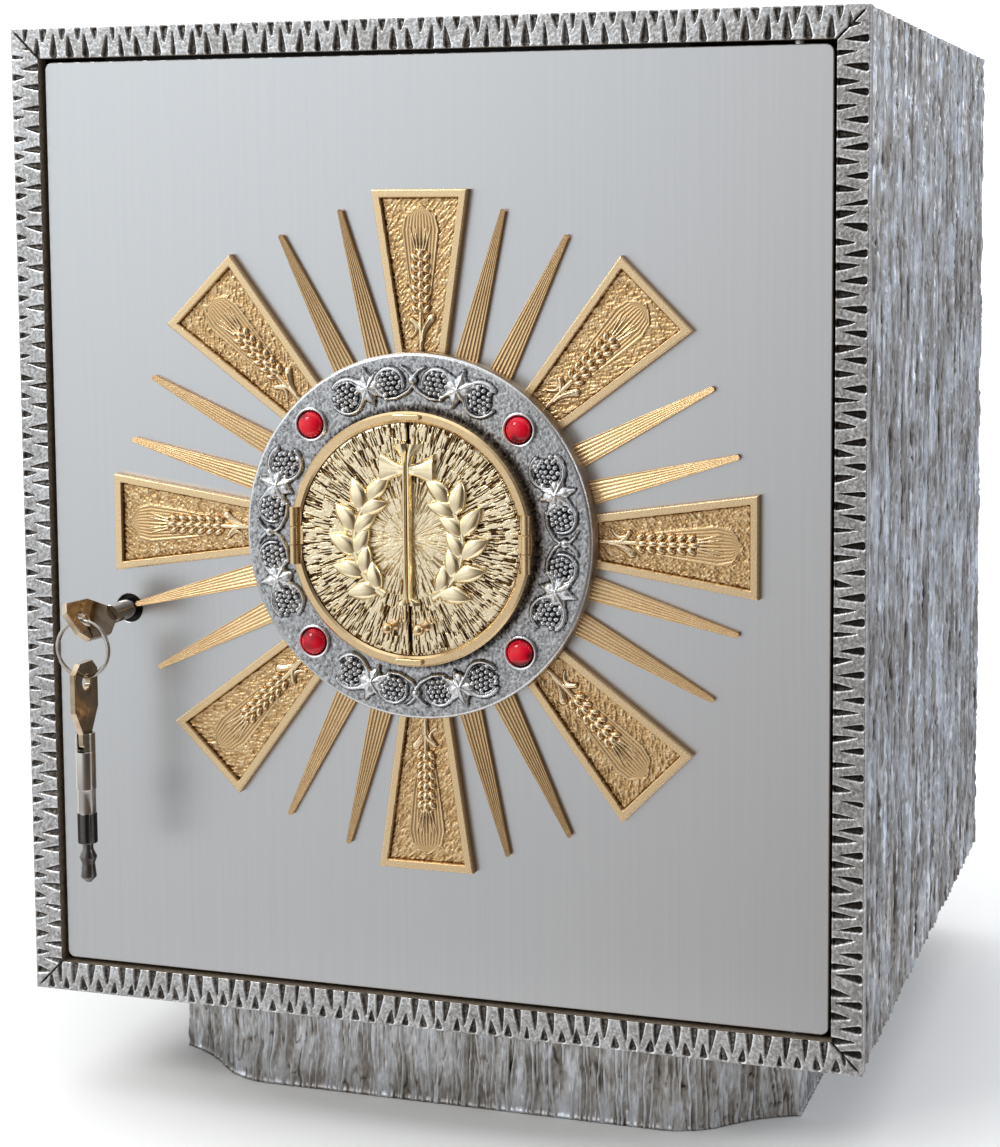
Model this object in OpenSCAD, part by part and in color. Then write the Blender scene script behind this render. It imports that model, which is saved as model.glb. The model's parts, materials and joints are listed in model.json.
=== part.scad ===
// Tabernacle: a cast cabinet on a plinth, with a pivoted door that carries a ray star,
// a medallion with two round-window leaves, a lock, its key and a spare key on a ring.
// Frame: +X to the right seen from the front, the front faces -Y, +Z up, and the origin is
// the centre of the plinth's underside.

/* [Cabinet] */
// Width across the front frame
box_w = 330; // [320:2:350]
// Depth from the front frame to the back panel
box_d = 310; // [260:5:340]
// Height without the plinth
box_h = 375; // [365:5:400]
// Thickness of the cast panels
panel_t = 6; // [5:0.5:7]
// Width of a front frame rail
rail_w = 11.3; // [10.5:0.1:12]
// Depth of a front frame rail
rail_d = 6; // [5:0.5:6]

/* [Plinth] */
// Height of the plinth
plinth_h = 42.5; // [35:0.5:55]
// Half width between the straight sides
plinth_half_w = 131; // [125:1:140]
// Setback of the plinth's flat front from the frame
plinth_setback = 32; // [28:1:40]
// Wall thickness of the cast plinth
plinth_t = 7; // [6:0.5:9]

/* [Door] */
// Gap between the door plate and the frame
door_gap = 1.5; // [1.4:0.1:2]
// Setback of the door face from the frame's front
door_recess = 2.5; // [2:0.1:3]
// Thickness of the door plate
plate_t = 2.5; // [2:0.1:2.5]
// Depth of the stiffening bars behind the plate
bar_d = 15.5; // [15:0.5:17]

/* [Star and medallion] */
// Sideways place of the star's centre
star_x = 1; // [0:0.5:2]
// Distance from the star's centre to the end of a wheat ray
wheat_r = 126; // [120:1:128]
// Distance from the star's centre to the tip of a slim ray
slim_r = 123; // [115:0.2:126]
// Outer radius of the silver medallion
medal_r = 67.25; // [66:0.25:68]
// Height of the medallion's face above the door
medal_h = 10.5; // [9:0.5:11]
// Outer radius of the window rim
rim_r = 46.5; // [46:0.5:47]
// Height of the window rim above the door
rim_h = 17.5; // [17:0.5:18.5]
// Radius from the star's centre to a stone
stone_pitch_r = 57; // [56.5:0.1:57.5]

/* [Lock and keys] */
// Sideways place of the keyhole
lock_x = -121.5; // [-122:0.5:-121]
// Height of the keyhole above the cabinet's floor line
lock_h = 153.8; // [150:0.2:160]
// Throw of the bolt
bolt_throw = 9.5; // [8:0.5:9.5]
// Radius of a key's stem
stem_r = 3.7; // [3.5:0.1:3.7]
// Rise of the folding bow of the key in the lock, in degrees
bow_rise = 3; // [0:1:15]
// Roll of the key in the lock about its own axis, in degrees
bow_roll = 40; // [30:1:45]
// Outer radius of the split ring
ring_r = 11.2; // [10.5:0.1:12]

/* [Anchoring] */
// Spacing of the anchor holes along X
anchor_x = 160; // [140:5:170]
// Spacing of the anchor holes along Y
anchor_y = 120; // [100:5:140]
// Radius of an anchor hole
anchor_r = 4.5; // [4:0.25:5.5]

/* [Hidden] */
$fn = 48;

front_y = -box_d / 2;
floor_z = plinth_h;
top_z = plinth_h + box_h;
mid_z = plinth_h + box_h / 2;
panel_y = front_y + rail_d;
inner_x = box_w / 2 - panel_t;
inner_z0 = floor_z + panel_t;
inner_z1 = top_z - panel_t;

open_x = box_w / 2 - rail_w;
open_z0 = floor_z + rail_w;
open_z1 = top_z - rail_w;
door_x = open_x - door_gap;
door_z0 = open_z0 + door_gap;
door_z1 = open_z1 - door_gap;
face_y = front_y + door_recess;
plate_back_y = face_y + plate_t;
bar_back_y = plate_back_y + bar_d;
sheet_t = 1.5;
bar_t = 3;
bar_x0 = -open_x + 7.7;
bar_x1 = door_x - 22.2;
bar_z0 = open_z0 + 9.2;
bar_z1 = open_z1 - 9.2;

pivot_x = door_x - 13;
pivot_y = face_y + 5.8;
pin_r = 2.25;
run_gap = 0.05;
lug_l = 14;
lug_z = door_z1 - 2;

lock_z = floor_z + lock_h;
bolt_y0 = panel_y + 0.7;
bolt_t = 5;
bolt_z0 = lock_z - 14.5;
bolt_z1 = lock_z - stem_r - 0.4;
bolt_tip_x = -door_x + 3.7;
cam_r = bolt_throw / sqrt(2);
case_back_y = plate_back_y + 41.5;
case_x1 = lock_x + 24;
case_z0 = lock_z - 24;
case_z1 = lock_z + 20;
rotor_r = 7;

tube_r = 44;
leaf_r = 42.3;
leaf_t = 2.2;
leaf_back_h = rim_h - 3;
seam = 0.15;
leaf_pin_x = 44.8;
leaf_pin_r = 0.8;
knuckle_r = 1.6;
knuckle_h = 3.4;
hinge_h = 10.5;
ornament_h = 3;
star_z = mid_z;

rivet_y = face_y - 12;
rivet_r = 1;
bow_t = 2.6;
bow_l = 30;
hole_u = 22.5;
hole_r = 3;
wire_r = 0.75;
key_l = 57;
// Unit vector along the rolled bow, and the centres of the ring's wire where it carries and hangs
roll_dir = [-sin(bow_roll), 0, cos(bow_roll)];
bow_dir = [0, -1, 0] * cos(bow_rise) + roll_dir * sin(bow_rise);
ring_top = [lock_x, rivet_y, lock_z] + bow_dir * hole_u - [0, 0, 0.1];
ring_c = ring_top - [0, 0, ring_r - wire_r];
spare_rivet_z = ring_c.z - ring_r + wire_r - 1.8 - hole_u;

// Lays a drawing of x and z in the plane y = near, and thickens it by t towards +Y
module slab(near, t) {
  translate([0, near + t, 0]) rotate([90, 0, 0]) linear_extrude(t) children();
}

// A block between two corners
module block(a, b) {
  translate(a) cube(b - a);
}

// Turns a solid made along +Z into one along -Y, at the star's centre on the door face
module on_star() {
  translate([star_x, face_y, star_z]) rotate([90, 0, 0]) children();
}

// A cylinder along Y from y0 to y1, centred at x and z
module y_rod(x, z, y0, y1, r) {
  translate([x, y1, z]) rotate([90, 0, 0]) cylinder(h = y1 - y0, r = r);
}

// A repeat of the children at the top and, mirrored, at the bottom of the door
module top_and_bottom() {
  children();
  translate([0, 0, 2 * mid_z]) mirror([0, 0, 1]) children();
}

// ---------- cabinet ----------

module side_panel(s) {
  color("dimgray")
    block([min(s * inner_x, s * box_w / 2), panel_y, floor_z],
          [max(s * inner_x, s * box_w / 2), -front_y, top_z]);
}

module side_left() side_panel(-1);
module side_right() side_panel(1);

module top_panel() {
  color("dimgray") block([-inner_x, panel_y, inner_z1], [inner_x, -front_y, top_z]);
}

module floor_panel() {
  color("dimgray") difference() {
    block([-inner_x, panel_y, floor_z], [inner_x, -front_y, inner_z0]);
    at_anchors(40) translate([0, 0, floor_z - 1]) cylinder(h = panel_t + 2, r = 3);
  }
}

module back_panel() {
  color("dimgray") block([-inner_x, -front_y - panel_t, inner_z0], [inner_x, -front_y, inner_z1]);
}

// One mitred rail: half its outer length, half its inner length, and its width
module rail(half_out, half_in) {
  polygon([[-half_out, 0], [half_out, 0], [half_in, -rail_w], [-half_in, -rail_w]]);
}

module rail_top() {
  color("silver") translate([0, 0, top_z]) slab(front_y, rail_d) rail(box_w / 2, open_x);
}

module rail_bottom() {
  color("silver") translate([0, 0, floor_z]) mirror([0, 0, 1]) slab(front_y, rail_d) rail(box_w / 2, open_x);
}

module rail_right() {
  color("silver") translate([box_w / 2, 0, mid_z]) rotate([0, 90, 0]) slab(front_y, rail_d)
    rail(box_h / 2, box_h / 2 - rail_w);
}

module rail_left() {
  color("silver") translate([-box_w / 2, 0, mid_z]) rotate([0, -90, 0]) slab(front_y, rail_d)
    rail(box_h / 2, box_h / 2 - rail_w);
}

// Points along an arc that starts at p with a heading and turns by an angle over n steps
function arc_from(p, heading, turn, r, n) =
  let (side = turn > 0 ? 1 : -1, c = p + side * r * [-sin(heading), cos(heading)])
  [for (i = [1 : n]) let (a = heading + turn * i / n) c + side * r * [sin(a), -cos(a)]];

plinth_y = front_y + plinth_setback;
ogee_start = [plinth_half_w, plinth_y + 35];
ogee_a = arc_from(ogee_start, 200, 28, 63, 6);
ogee_b = arc_from(ogee_a[5], 228, -48, 34, 8);
ogee = concat([ogee_start], ogee_a, ogee_b);
ogee_shift = [0, plinth_y - ogee_b[7].y];
ogee_points = [for (p = ogee) p + ogee_shift];
ogee_end_y = ogee_points[0].y;

// Plan of the plinth's front: a flat with an ogee at each end
module plinth_front_plan(grow) {
  inset = [grow, -grow];
  right = [for (p = ogee_points) p - [inset.x, inset.y]];
  left = [for (i = [len(right) - 1 : -1 : 0]) [-right[i].x, right[i].y]];
  polygon(concat(right, left));
}

module plinth_front() {
  color("dimgray") linear_extrude(plinth_h) difference() {
    plinth_front_plan(0);
    plinth_front_plan(plinth_t);
  }
}

module plinth_back() mirror([0, 1, 0]) plinth_front();

module plinth_sides() {
  color("dimgray") for (x = [-plinth_half_w, plinth_half_w - plinth_t])
    block([x, ogee_end_y, 0], [x + plinth_t, -ogee_end_y, plinth_h]);
}

module at_anchors(inward) {
  for (sx = [-1, 1], sy = [-1, 1])
    translate([sx * (anchor_x / 2 - inward), sy * anchor_y / 2, 0]) children();
}

base_t = 4;

module base_plate() {
  color("gray") difference() {
    block([-105, ogee_end_y + 4, 0], [105, -ogee_end_y - 4, base_t]);
    at_anchors(0) translate([0, 0, -1]) cylinder(h = base_t + 2, r = anchor_r);
    at_anchors(40) translate([0, 0, -1]) cylinder(h = base_t + 2, r = 3);
  }
}

module plinth_posts() {
  color("gray") at_anchors(40) translate([0, 0, base_t]) difference() {
    cylinder(h = plinth_h - base_t, r = 8);
    translate([0, 0, -1]) cylinder(h = plinth_h, r = 3);
  }
}

module plinth_bolts() {
  color("silver") at_anchors(40) {
    translate([0, 0, base_t]) cylinder(h = inner_z0 - base_t, r = 3);
    translate([0, 0, inner_z0]) cylinder(h = 1.4, r = 5);
  }
}

liner_y = plate_back_y + 22;
liner_t = 1.5;

module liner() {
  color("goldenrod") difference() {
    block([-inner_x, liner_y, inner_z0 + 1.5], [inner_x, -front_y - panel_t, inner_z1]);
    block([-inner_x + liner_t, liner_y - 1, inner_z0 + 1.5 + liner_t],
          [inner_x - liner_t, -front_y - panel_t - liner_t, inner_z1 - liner_t]);
  }
}

module pivot_blocks() {
  color("silver") top_and_bottom() difference() {
    block([pivot_x - 8, panel_y, open_z1], [pivot_x + 8, pivot_y + 6, inner_z1]);
    translate([pivot_x, pivot_y, open_z1 - 1]) cylinder(h = 10, r = pin_r);
  }
}

module pivot_pins() {
  color("silver") top_and_bottom() translate([pivot_x, pivot_y, lug_z - lug_l + 1])
    cylinder(h = inner_z1 - lug_z + lug_l - 1, r = pin_r);
}

stop_z = door_z1 - 5.2;
stop_y = plate_back_y + 4;

module stop_bars() {
  color("gray") top_and_bottom() block([-130, stop_y, stop_z], [100, stop_y + 2, inner_z1]);
}

module buffers() {
  color("#222222") top_and_bottom() for (x = [-115, 85])
    y_rod(x, stop_z + 2.2, plate_back_y + 0.2, stop_y, 2.1);
}

module strike() {
  color("silver") difference() {
    block([-inner_x, panel_y, lock_z - 20], [-inner_x + 3.6, panel_y + 11, lock_z + 10]);
    bolt_window(-inner_x, -inner_x + 3.6);
  }
}

// ---------- door ----------

module door_plate() {
  corner = 3;
  color("gainsboro") difference() {
    slab(face_y, plate_t) {
      translate([-door_x + corner, door_z0]) square([2 * (door_x - corner), door_z1 - door_z0]);
      translate([-door_x, door_z0 + corner]) square([2 * door_x, door_z1 - door_z0 - 2 * corner]);
      for (x = [-door_x + corner, door_x - corner], z = [door_z0 + corner, door_z1 - corner])
        translate([x, z]) circle(r = corner);
    }
    y_rod(star_x, star_z, face_y - 1, plate_back_y + 1, tube_r);
    y_rod(lock_x, lock_z, face_y - 1, plate_back_y + 1, 5.5);
  }
}

// The opening that the bolt slides through, around a wall from x0 to x1
module bolt_window(x0, x1) {
  play = 0.4;
  block([x0 - 1, bolt_y0 - play, bolt_z0 - play], [x1 + 1, bolt_y0 + bolt_t + play, bolt_z1 + play]);
}

module door_bars() {
  color("gray") difference() {
    union() {
      for (x = [bar_x0, bar_x1 - bar_t])
        block([x, plate_back_y, bar_z0], [x + bar_t, bar_back_y, bar_z1]);
      for (z = [bar_z0, bar_z1 - bar_t])
        block([bar_x0 + bar_t + 0.01, plate_back_y, z], [bar_x1 - bar_t - 0.01, bar_back_y, z + bar_t]);
    }
    bolt_window(bar_x0, bar_x0 + bar_t);
    at_back_screws() y_rod(0, 0, bar_back_y - 4, bar_back_y + 1, 1);
  }
}

module at_back_screws() {
  for (x = [bar_x0 + bar_t / 2, bar_x1 - bar_t / 2], z = [bar_z0 + 20, mid_z + 55, bar_z1 - 20])
    translate([x, 0, z]) children();
}

module door_back() {
  color("silver") difference() {
    block([bar_x0, bar_back_y, bar_z0], [bar_x1, bar_back_y + sheet_t, bar_z1]);
    y_rod(star_x, star_z, bar_back_y - 1, bar_back_y + sheet_t + 1, tube_r + 0.5);
    block([bar_x0 - 1, bar_back_y - 1, case_z0 - 0.3],
          [case_x1 + 0.3, bar_back_y + sheet_t + 1, case_z1 + 0.3]);
    at_back_screws() y_rod(0, 0, bar_back_y - 1, bar_back_y + sheet_t + 1, 1);
  }
}

module door_screws() {
  color("silver") {
    at_back_screws() {
      y_rod(0, 0, bar_back_y - 4, bar_back_y + sheet_t, 1);
      y_rod(0, 0, bar_back_y + sheet_t, bar_back_y + sheet_t + 1.2, 2.2);
    }
    at_cover_screws() y_rod(0, 0, case_back_y + 1.2, case_back_y + 2.4, 2.2);
  }
}

module pivot_lugs() {
  color("darkgoldenrod") top_and_bottom() difference() {
    block([pivot_x - 6.5, plate_back_y, lug_z - lug_l], [pivot_x + 6.5, pivot_y + 5.5, lug_z]);
    translate([pivot_x, pivot_y, lug_z - lug_l - 1]) cylinder(h = lug_l + 2, r = pin_r + run_gap);
  }
}

case_x0 = bar_x0 + bar_t;
case_t = 1.2;

module lock_case() {
  color("gray") difference() {
    block([case_x0, plate_back_y, case_z0], [case_x1, case_back_y, case_z1]);
    block([case_x0 + case_t, plate_back_y - 1, case_z0 + case_t],
          [case_x1 - case_t, case_back_y + 1, case_z1 - case_t]);
    bolt_window(case_x0, case_x0 + case_t);
  }
}

module at_cover_screws() {
  for (x = [case_x0 + 5, case_x1 - 5], z = [case_z0 + 5, case_z1 - 5]) translate([x, 0, z]) children();
}

module lock_cover() {
  color("silver") difference() {
    block([case_x0, case_back_y, case_z0], [case_x1, case_back_y + 1.2, case_z1]);
    y_rod(lock_x, lock_z, case_back_y - 1, case_back_y + 3, 3 + run_gap);
  }
}

// Ring behind the keyhole that guides the stem
module keyhole_sleeve() {
  color("#333333") difference() {
    y_rod(lock_x, lock_z, plate_back_y, bolt_y0 - 0.1, 8);
    y_rod(lock_x, lock_z, plate_back_y - 1, bolt_y0 + 1, stem_r + run_gap);
  }
}

// Profile of the window rim, as radius and height above the door face
module rim_profile() {
  rear = -plate_t - bar_d - sheet_t;
  glass_seat = -8.5;
  polygon([
    [40, rear], [tube_r, rear], [tube_r, 0], [rim_r, 0], [rim_r, rim_h - 0.8], [rim_r - 0.8, rim_h],
    [leaf_r + 1.2, rim_h], [leaf_r + 0.4, rim_h - 0.8], [leaf_r + 0.4, leaf_back_h - 1],
    [38, leaf_back_h - 1], [38, glass_seat], [40, glass_seat],
  ]);
}

module window_rim() {
  color("goldenrod") on_star() {
    difference() {
      rotate_extrude($fn = 96) rim_profile();
      for (s = [-1, 1]) {
        translate([s * leaf_pin_x - 2.6, -hinge_h, rim_h - 1]) cube([5.2, 2 * hinge_h, 3]);
        translate([s * leaf_pin_x - 2.6, -knuckle_h - 0.15, rim_h - 1.8]) cube([5.2, 2 * knuckle_h + 0.3, 3]);
      }
    }
    for (s = [-1, 1], t = [-1, 1])
      difference() {
        translate([s * leaf_pin_x, t * (hinge_h + knuckle_h + 0.2) / 2, rim_h])
          rotate([90, 0, 0]) cylinder(h = hinge_h - knuckle_h - 0.2, r = knuckle_r, center = true);
        translate([s * leaf_pin_x, 0, rim_h]) rotate([90, 0, 0])
          cylinder(h = 30, r = leaf_pin_r, center = true);
      }
    for (t = [-1, 1]) translate([0, t * 44.4, rim_h - 0.5]) {
      translate([-4, -1, 0]) cube([8, 2, 1.5]);
      for (x = [-4, 4]) translate([x, 0, 0]) cylinder(h = 1.5, r = 1);
    }
  }
}

module window_glass() {
  color("lightcyan", 0.4) on_star() translate([0, 0, -11.5]) cylinder(h = 3, r = 39.9, $fn = 96);
}

module glass_retainer() {
  color("goldenrod") on_star() translate([0, 0, -13.5]) difference() {
    cylinder(h = 2, r = 40, $fn = 96);
    translate([0, 0, -1]) cylinder(h = 4, r = 36.5, $fn = 96);
  }
}

bezel_r = 6.25;
stone_r = 5;

module at_stones() {
  for (a = [45 : 90 : 315]) rotate(a) translate([stone_pitch_r, 0, medal_h]) children();
}

module medallion() {
  color("silver") on_star() difference() {
    union() {
      rotate_extrude($fn = 96) polygon([
        [rim_r + 0.05, 0], [medal_r, 0], [medal_r, medal_h - 1.2], [medal_r - 0.35, medal_h - 0.35],
        [medal_r - 1.2, medal_h], [rim_r + 0.05, medal_h],
      ]);
      at_stones() translate([0, 0, -1]) cylinder(h = 2.4, r = bezel_r);
    }
    at_stones() translate([0, 0, -0.5]) cylinder(h = 4, r = stone_r + 0.1);
  }
}

// A cabochon: a short wall under a shallow dome
module stones() {
  dome_h = 2.6;
  dome_r = (stone_r * stone_r + dome_h * dome_h) / (2 * dome_h);
  color("crimson") on_star() at_stones() translate([0, 0, -0.5]) intersection() {
    cylinder(h = 1.8 + dome_h, r = stone_r);
    translate([0, 0, 1.8 + dome_h - dome_r]) sphere(r = dome_r);
  }
}

// One garland: grape domes and flat leaves on a ribbon that follows the ring
module garland() {
  ribbon_r = 56.8;
  rotate(-31) rotate_extrude(angle = 62, $fn = 96) translate([ribbon_r - 5, 0]) square([10, 1]);
  for (a = [-26, -9, 9, 26]) rotate(a) translate([ribbon_r, 0, 0]) intersection() {
    translate([0, 0, -2.2]) sphere(r = 6);
    cylinder(h = 6, r = 5.4);
  }
  for (a = [-17.5, 0, 17.5]) rotate(a) translate([ribbon_r, 0, 0]) cylinder(h = 2.4, r = 3.4);
}

module vine_garlands() {
  color("darkgray") on_star() for (a = [0 : 90 : 270]) rotate(a) translate([0, 0, medal_h]) garland();
}

ray_t = 2.6;
wheat_half_angle = 8.4;

// Outline of a wheat ray along +X, grown by g all round
module wheat_outline(g) {
  tip = wheat_r + g;
  foot = medal_r + 0.05 - g;
  side = tan(wheat_half_angle);
  polygon([[foot, -foot * side - g], [tip, -tip * side - g], [tip, tip * side + g], [foot, foot * side + g]]);
}

module wheat_ray(k) {
  border = 2.8;
  color("goldenrod") on_star() rotate(45 * (k - 1)) {
    difference() {
      linear_extrude(ray_t + 1) wheat_outline(0);
      translate([0, 0, ray_t - 0.6]) linear_extrude(3) intersection() {
        wheat_outline(-border);
        translate([medal_r + border, -40]) square([80, 80]);
      }
      cylinder(h = 20, r = medal_r + 0.05, center = true, $fn = 96);
    }
    for (i = [0 : 4], s = [-1, 1])
      translate([88 + 4.6 * i, s * 2.4, ray_t - 0.55]) sphere(r = 2, $fn = 24);
    translate([112, 0, ray_t - 0.55]) sphere(r = 2, $fn = 24);
  }
}

slim_angles = [for (q = [0 : 90 : 270], a = [15, 27, 63, 75]) q + a];

module slim_ray() {
  foot_x = medal_r - 1;
  foot_w = 4.4;
  tip_w = 1;
  tip_x = slim_r - tip_w;
  difference() {
    linear_extrude(2.4) {
      polygon([[foot_x, -foot_w], [tip_x, -tip_w], [tip_x, tip_w], [foot_x, foot_w]]);
      translate([tip_x, 0]) circle(r = tip_w, $fn = 24);
    }
    cylinder(h = 20, r = medal_r + 0.05, center = true, $fn = 96);
  }
}

module slim_rays() {
  color("goldenrod") on_star() for (a = slim_angles) rotate(a) slim_ray();
}

// ---------- window leaves ----------

// The right leaf and what it carries are drawn at +X; the left ones are their mirror image
module mirrored(s) {
  if (s > 0) children();
  else mirror([1, 0, 0]) children();
}

module leaf(s) {
  color("gold") on_star() mirrored(s) difference() {
    union() {
      intersection() {
        translate([0, 0, leaf_back_h]) cylinder(h = leaf_t, r = leaf_r, $fn = 96);
        translate([seam, -50, 0]) cube([60, 100, 40]);
      }
      translate([41.5, -knuckle_h, rim_h - 1.55]) cube([leaf_pin_x - 41.5, 2 * knuckle_h, 0.75]);
      translate([leaf_pin_x, 0, rim_h]) rotate([90, 0, 0])
        cylinder(h = 2 * knuckle_h, r = knuckle_r, center = true);
    }
    translate([leaf_pin_x, 0, rim_h]) rotate([90, 0, 0])
      cylinder(h = 20, r = leaf_pin_r + run_gap, center = true);
  }
}

module leaf_left() leaf(-1);
module leaf_right() leaf(1);

// A pointed laurel leaf along +X from the origin
module leaflet(l, w) {
  steps = 6;
  edge = [for (i = [0 : steps]) let (t = i / steps) [l * t, 2 * w * t * (1 - t)]];
  polygon(concat(edge, [for (i = [steps - 1 : -1 : 1]) [edge[i].x, -edge[i].y]]));
}

// Right half of a cross with flared arms on a long stem
module half_cross() {
  polygon([
    [seam, 35], [5.8, 35], [2.4, 30.5], [1.7, 27.6], [4.6, 28.4], [10.2, 31.2], [10.2, 19.6],
    [4.6, 22.6], [1.7, 23.4], [1.6, -21], [4.5, -22.5], [4.5, -23.7], [seam, -23.7],
  ]);
}

// A laurel branch that rises beside the cross: a curved stem with leaves on both sides
module laurel() {
  branch_r = 21;
  stem_w = 1.6;
  sides = 12;
  turn = [for (i = [0 : sides]) -62 + 105 * i / sides];
  outer = [for (a = turn) (branch_r + stem_w / 2) * [cos(a), sin(a)]];
  inner = [for (i = [sides : -1 : 0]) (branch_r - stem_w / 2) * [cos(turn[i]), sin(turn[i])]];
  translate([-1, -1]) {
    polygon(concat(outer, inner));
    for (i = [0 : 4]) rotate(-56 + 21 * i) translate([branch_r, 0]) {
      rotate(50) leaflet(12, 5);
      rotate(132) leaflet(10, 4.4);
    }
    rotate(41) translate([branch_r, 0]) rotate(92) leaflet(12, 5);
  }
}

module ornament(s) {
  color("gold") on_star() mirrored(s) translate([0, 0, leaf_back_h + leaf_t]) linear_extrude(ornament_h) {
    half_cross();
    laurel();
  }
}

module ornament_left() ornament(-1);
module ornament_right() ornament(1);

module knob(s) {
  color("gold") on_star() mirrored(s) translate([6, -31.5, leaf_back_h + leaf_t]) {
    cylinder(h = 0.8, r = 1.8);
    cylinder(h = 7, r = 0.8);
    translate([0, 0, 7.4]) sphere(r = 1.6);
  }
}

module knob_left() knob(-1);
module knob_right() knob(1);

module leaf_pins() {
  color("goldenrod") on_star() for (s = [-1, 1]) translate([s * leaf_pin_x, 0, rim_h])
    rotate([90, 0, 0]) cylinder(h = 2 * hinge_h, r = leaf_pin_r, center = true);
}

// ---------- lock ----------

cam_pin_r = 1.5;

module deadbolt() {
  slot_x = lock_x + cam_r / sqrt(2);
  color("silver") difference() {
    block([bolt_tip_x, bolt_y0, bolt_z0], [lock_x + 11, bolt_y0 + bolt_t, bolt_z1]);
    block([slot_x - cam_pin_r - 0.45, bolt_y0 - 1, lock_z - cam_r - cam_pin_r - 0.6],
          [slot_x + cam_pin_r + 0.45, bolt_y0 + bolt_t + 1, lock_z]);
  }
}

// The tube that the key turns: a flange with the pin that drives the bolt, and a rear spigot
module lock_rotor() {
  y0 = bolt_y0 + bolt_t + 0.3;
  y1 = case_back_y - 0.3;
  pin = cam_r / sqrt(2);
  color("darkgoldenrod") {
    difference() {
      union() {
        y_rod(lock_x, lock_z, y0, y0 + 2.2, 9.5);
        y_rod(lock_x, lock_z, y0, y1, rotor_r);
        y_rod(lock_x, lock_z, y1 - 1, case_back_y + 1.2, 3);
      }
      y_rod(lock_x, lock_z, y0 - 1, y1 - 1.6, stem_r + run_gap);
    }
    y_rod(lock_x + pin, lock_z - pin, bolt_y0 + 0.4, y0 + 0.5, cam_pin_r);
  }
}

// ---------- keys ----------
// A key is drawn hanging from its rivet at the origin: the bow rises along +Z, the stem
// goes down along -Z, and both lie flat across X.

module stem_shape() {
  fork = 3.4;
  color("silver") difference() {
    union() {
      translate([0, 0, -18]) cylinder(h = 18 + fork, r = stem_r);
      translate([0, 0, -27]) cylinder(h = 9, r = stem_r - 0.25);
      translate([0, 0, -38.5]) cylinder(h = 11.5, r = stem_r);
      translate([0, 0, -41]) cylinder(h = 2.5, r = 2);
      translate([0, 0, -44]) cylinder(h = 3, r1 = 3.3, r2 = 2);
      translate([0, 0, -46.5]) cylinder(h = 2.5, r1 = 2.4, r2 = 3.3);
      translate([0, 0, fork - key_l + 2]) cylinder(h = key_l - fork - 48.5, r1 = 3, r2 = 2.4);
      translate([0, 0, fork - key_l]) cylinder(h = 2, r1 = 1.2, r2 = 3);
    }
    translate([-bow_t / 2 - 0.1, -10, -3.8]) cube([bow_t + 0.2, 20, 20]);
    rotate([0, 90, 0]) cylinder(h = 20, r = rivet_r, center = true);
    for (a = [0 : 60 : 300]) rotate(a) translate([3.9, 0, -38]) cylinder(h = 10.5, r = 0.9, $fn = 24);
  }
}

module bow_shape() {
  color("tan") rotate([90, 0, 90]) translate([0, 0, -bow_t / 2]) linear_extrude(bow_t) difference() {
    union() {
      circle(r = 3.3);
      polygon(concat(
        [[3.3, 0], [3.3, 3], [8.2, 12], [8.2, bow_l - 3.5], [4.5, bow_l]],
        [[-4.5, bow_l], [-8.2, bow_l - 3.5], [-8.2, 12], [-3.3, 3], [-3.3, 0]]
      ));
    }
    circle(r = rivet_r + run_gap);
    translate([0, hole_u]) circle(r = hole_r);
  }
}

module rivet_shape() {
  color("silver") rotate([0, 90, 0]) cylinder(h = 2 * stem_r - 1.4, r = rivet_r, center = true);
}

// Places a hanging key in the lock: the stem along +Y, rolled about its own axis
module in_lock() {
  translate([lock_x, rivet_y, lock_z]) rotate([0, -bow_roll, 0]) rotate([90, 0, 0]) children();
}

module on_ring() {
  translate([ring_c.x, ring_c.y, spare_rivet_z]) children();
}

module key_stem() in_lock() stem_shape();
module key_bow() in_lock() rotate([-bow_rise, 0, 0]) bow_shape();
module key_rivet() in_lock() rivet_shape();
module spare_stem() on_ring() stem_shape();
module spare_bow() on_ring() bow_shape();
module spare_rivet() on_ring() rivet_shape();

module key_ring() {
  color("silver") translate(ring_c) rotate([90, 0, 0]) rotate_extrude()
    translate([ring_r - wire_r, 0]) circle(r = wire_r, $fn = 24);
}

side_left();
side_right();
top_panel();
floor_panel();
back_panel();
rail_top();
rail_bottom();
rail_left();
rail_right();
plinth_front();
plinth_back();
plinth_sides();
base_plate();
plinth_posts();
plinth_bolts();
liner();
pivot_blocks();
pivot_pins();
stop_bars();
buffers();
strike();
door_plate();
door_bars();
door_back();
door_screws();
pivot_lugs();
lock_case();
lock_cover();
keyhole_sleeve();
window_rim();
window_glass();
glass_retainer();
medallion();
vine_garlands();
stones();
for (k = [1 : 8]) wheat_ray(k);
slim_rays();
leaf_left();
leaf_right();
ornament_left();
ornament_right();
knob_left();
knob_right();
leaf_pins();
deadbolt();
lock_rotor();
key_stem();
key_bow();
key_rivet();
key_ring();
spare_stem();
spare_bow();
spare_rivet();
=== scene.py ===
import json
import math

import bmesh
import bpy
import numpy as np
from mathutils import Matrix, Vector
from mathutils.geometry import tessellate_polygon

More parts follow.
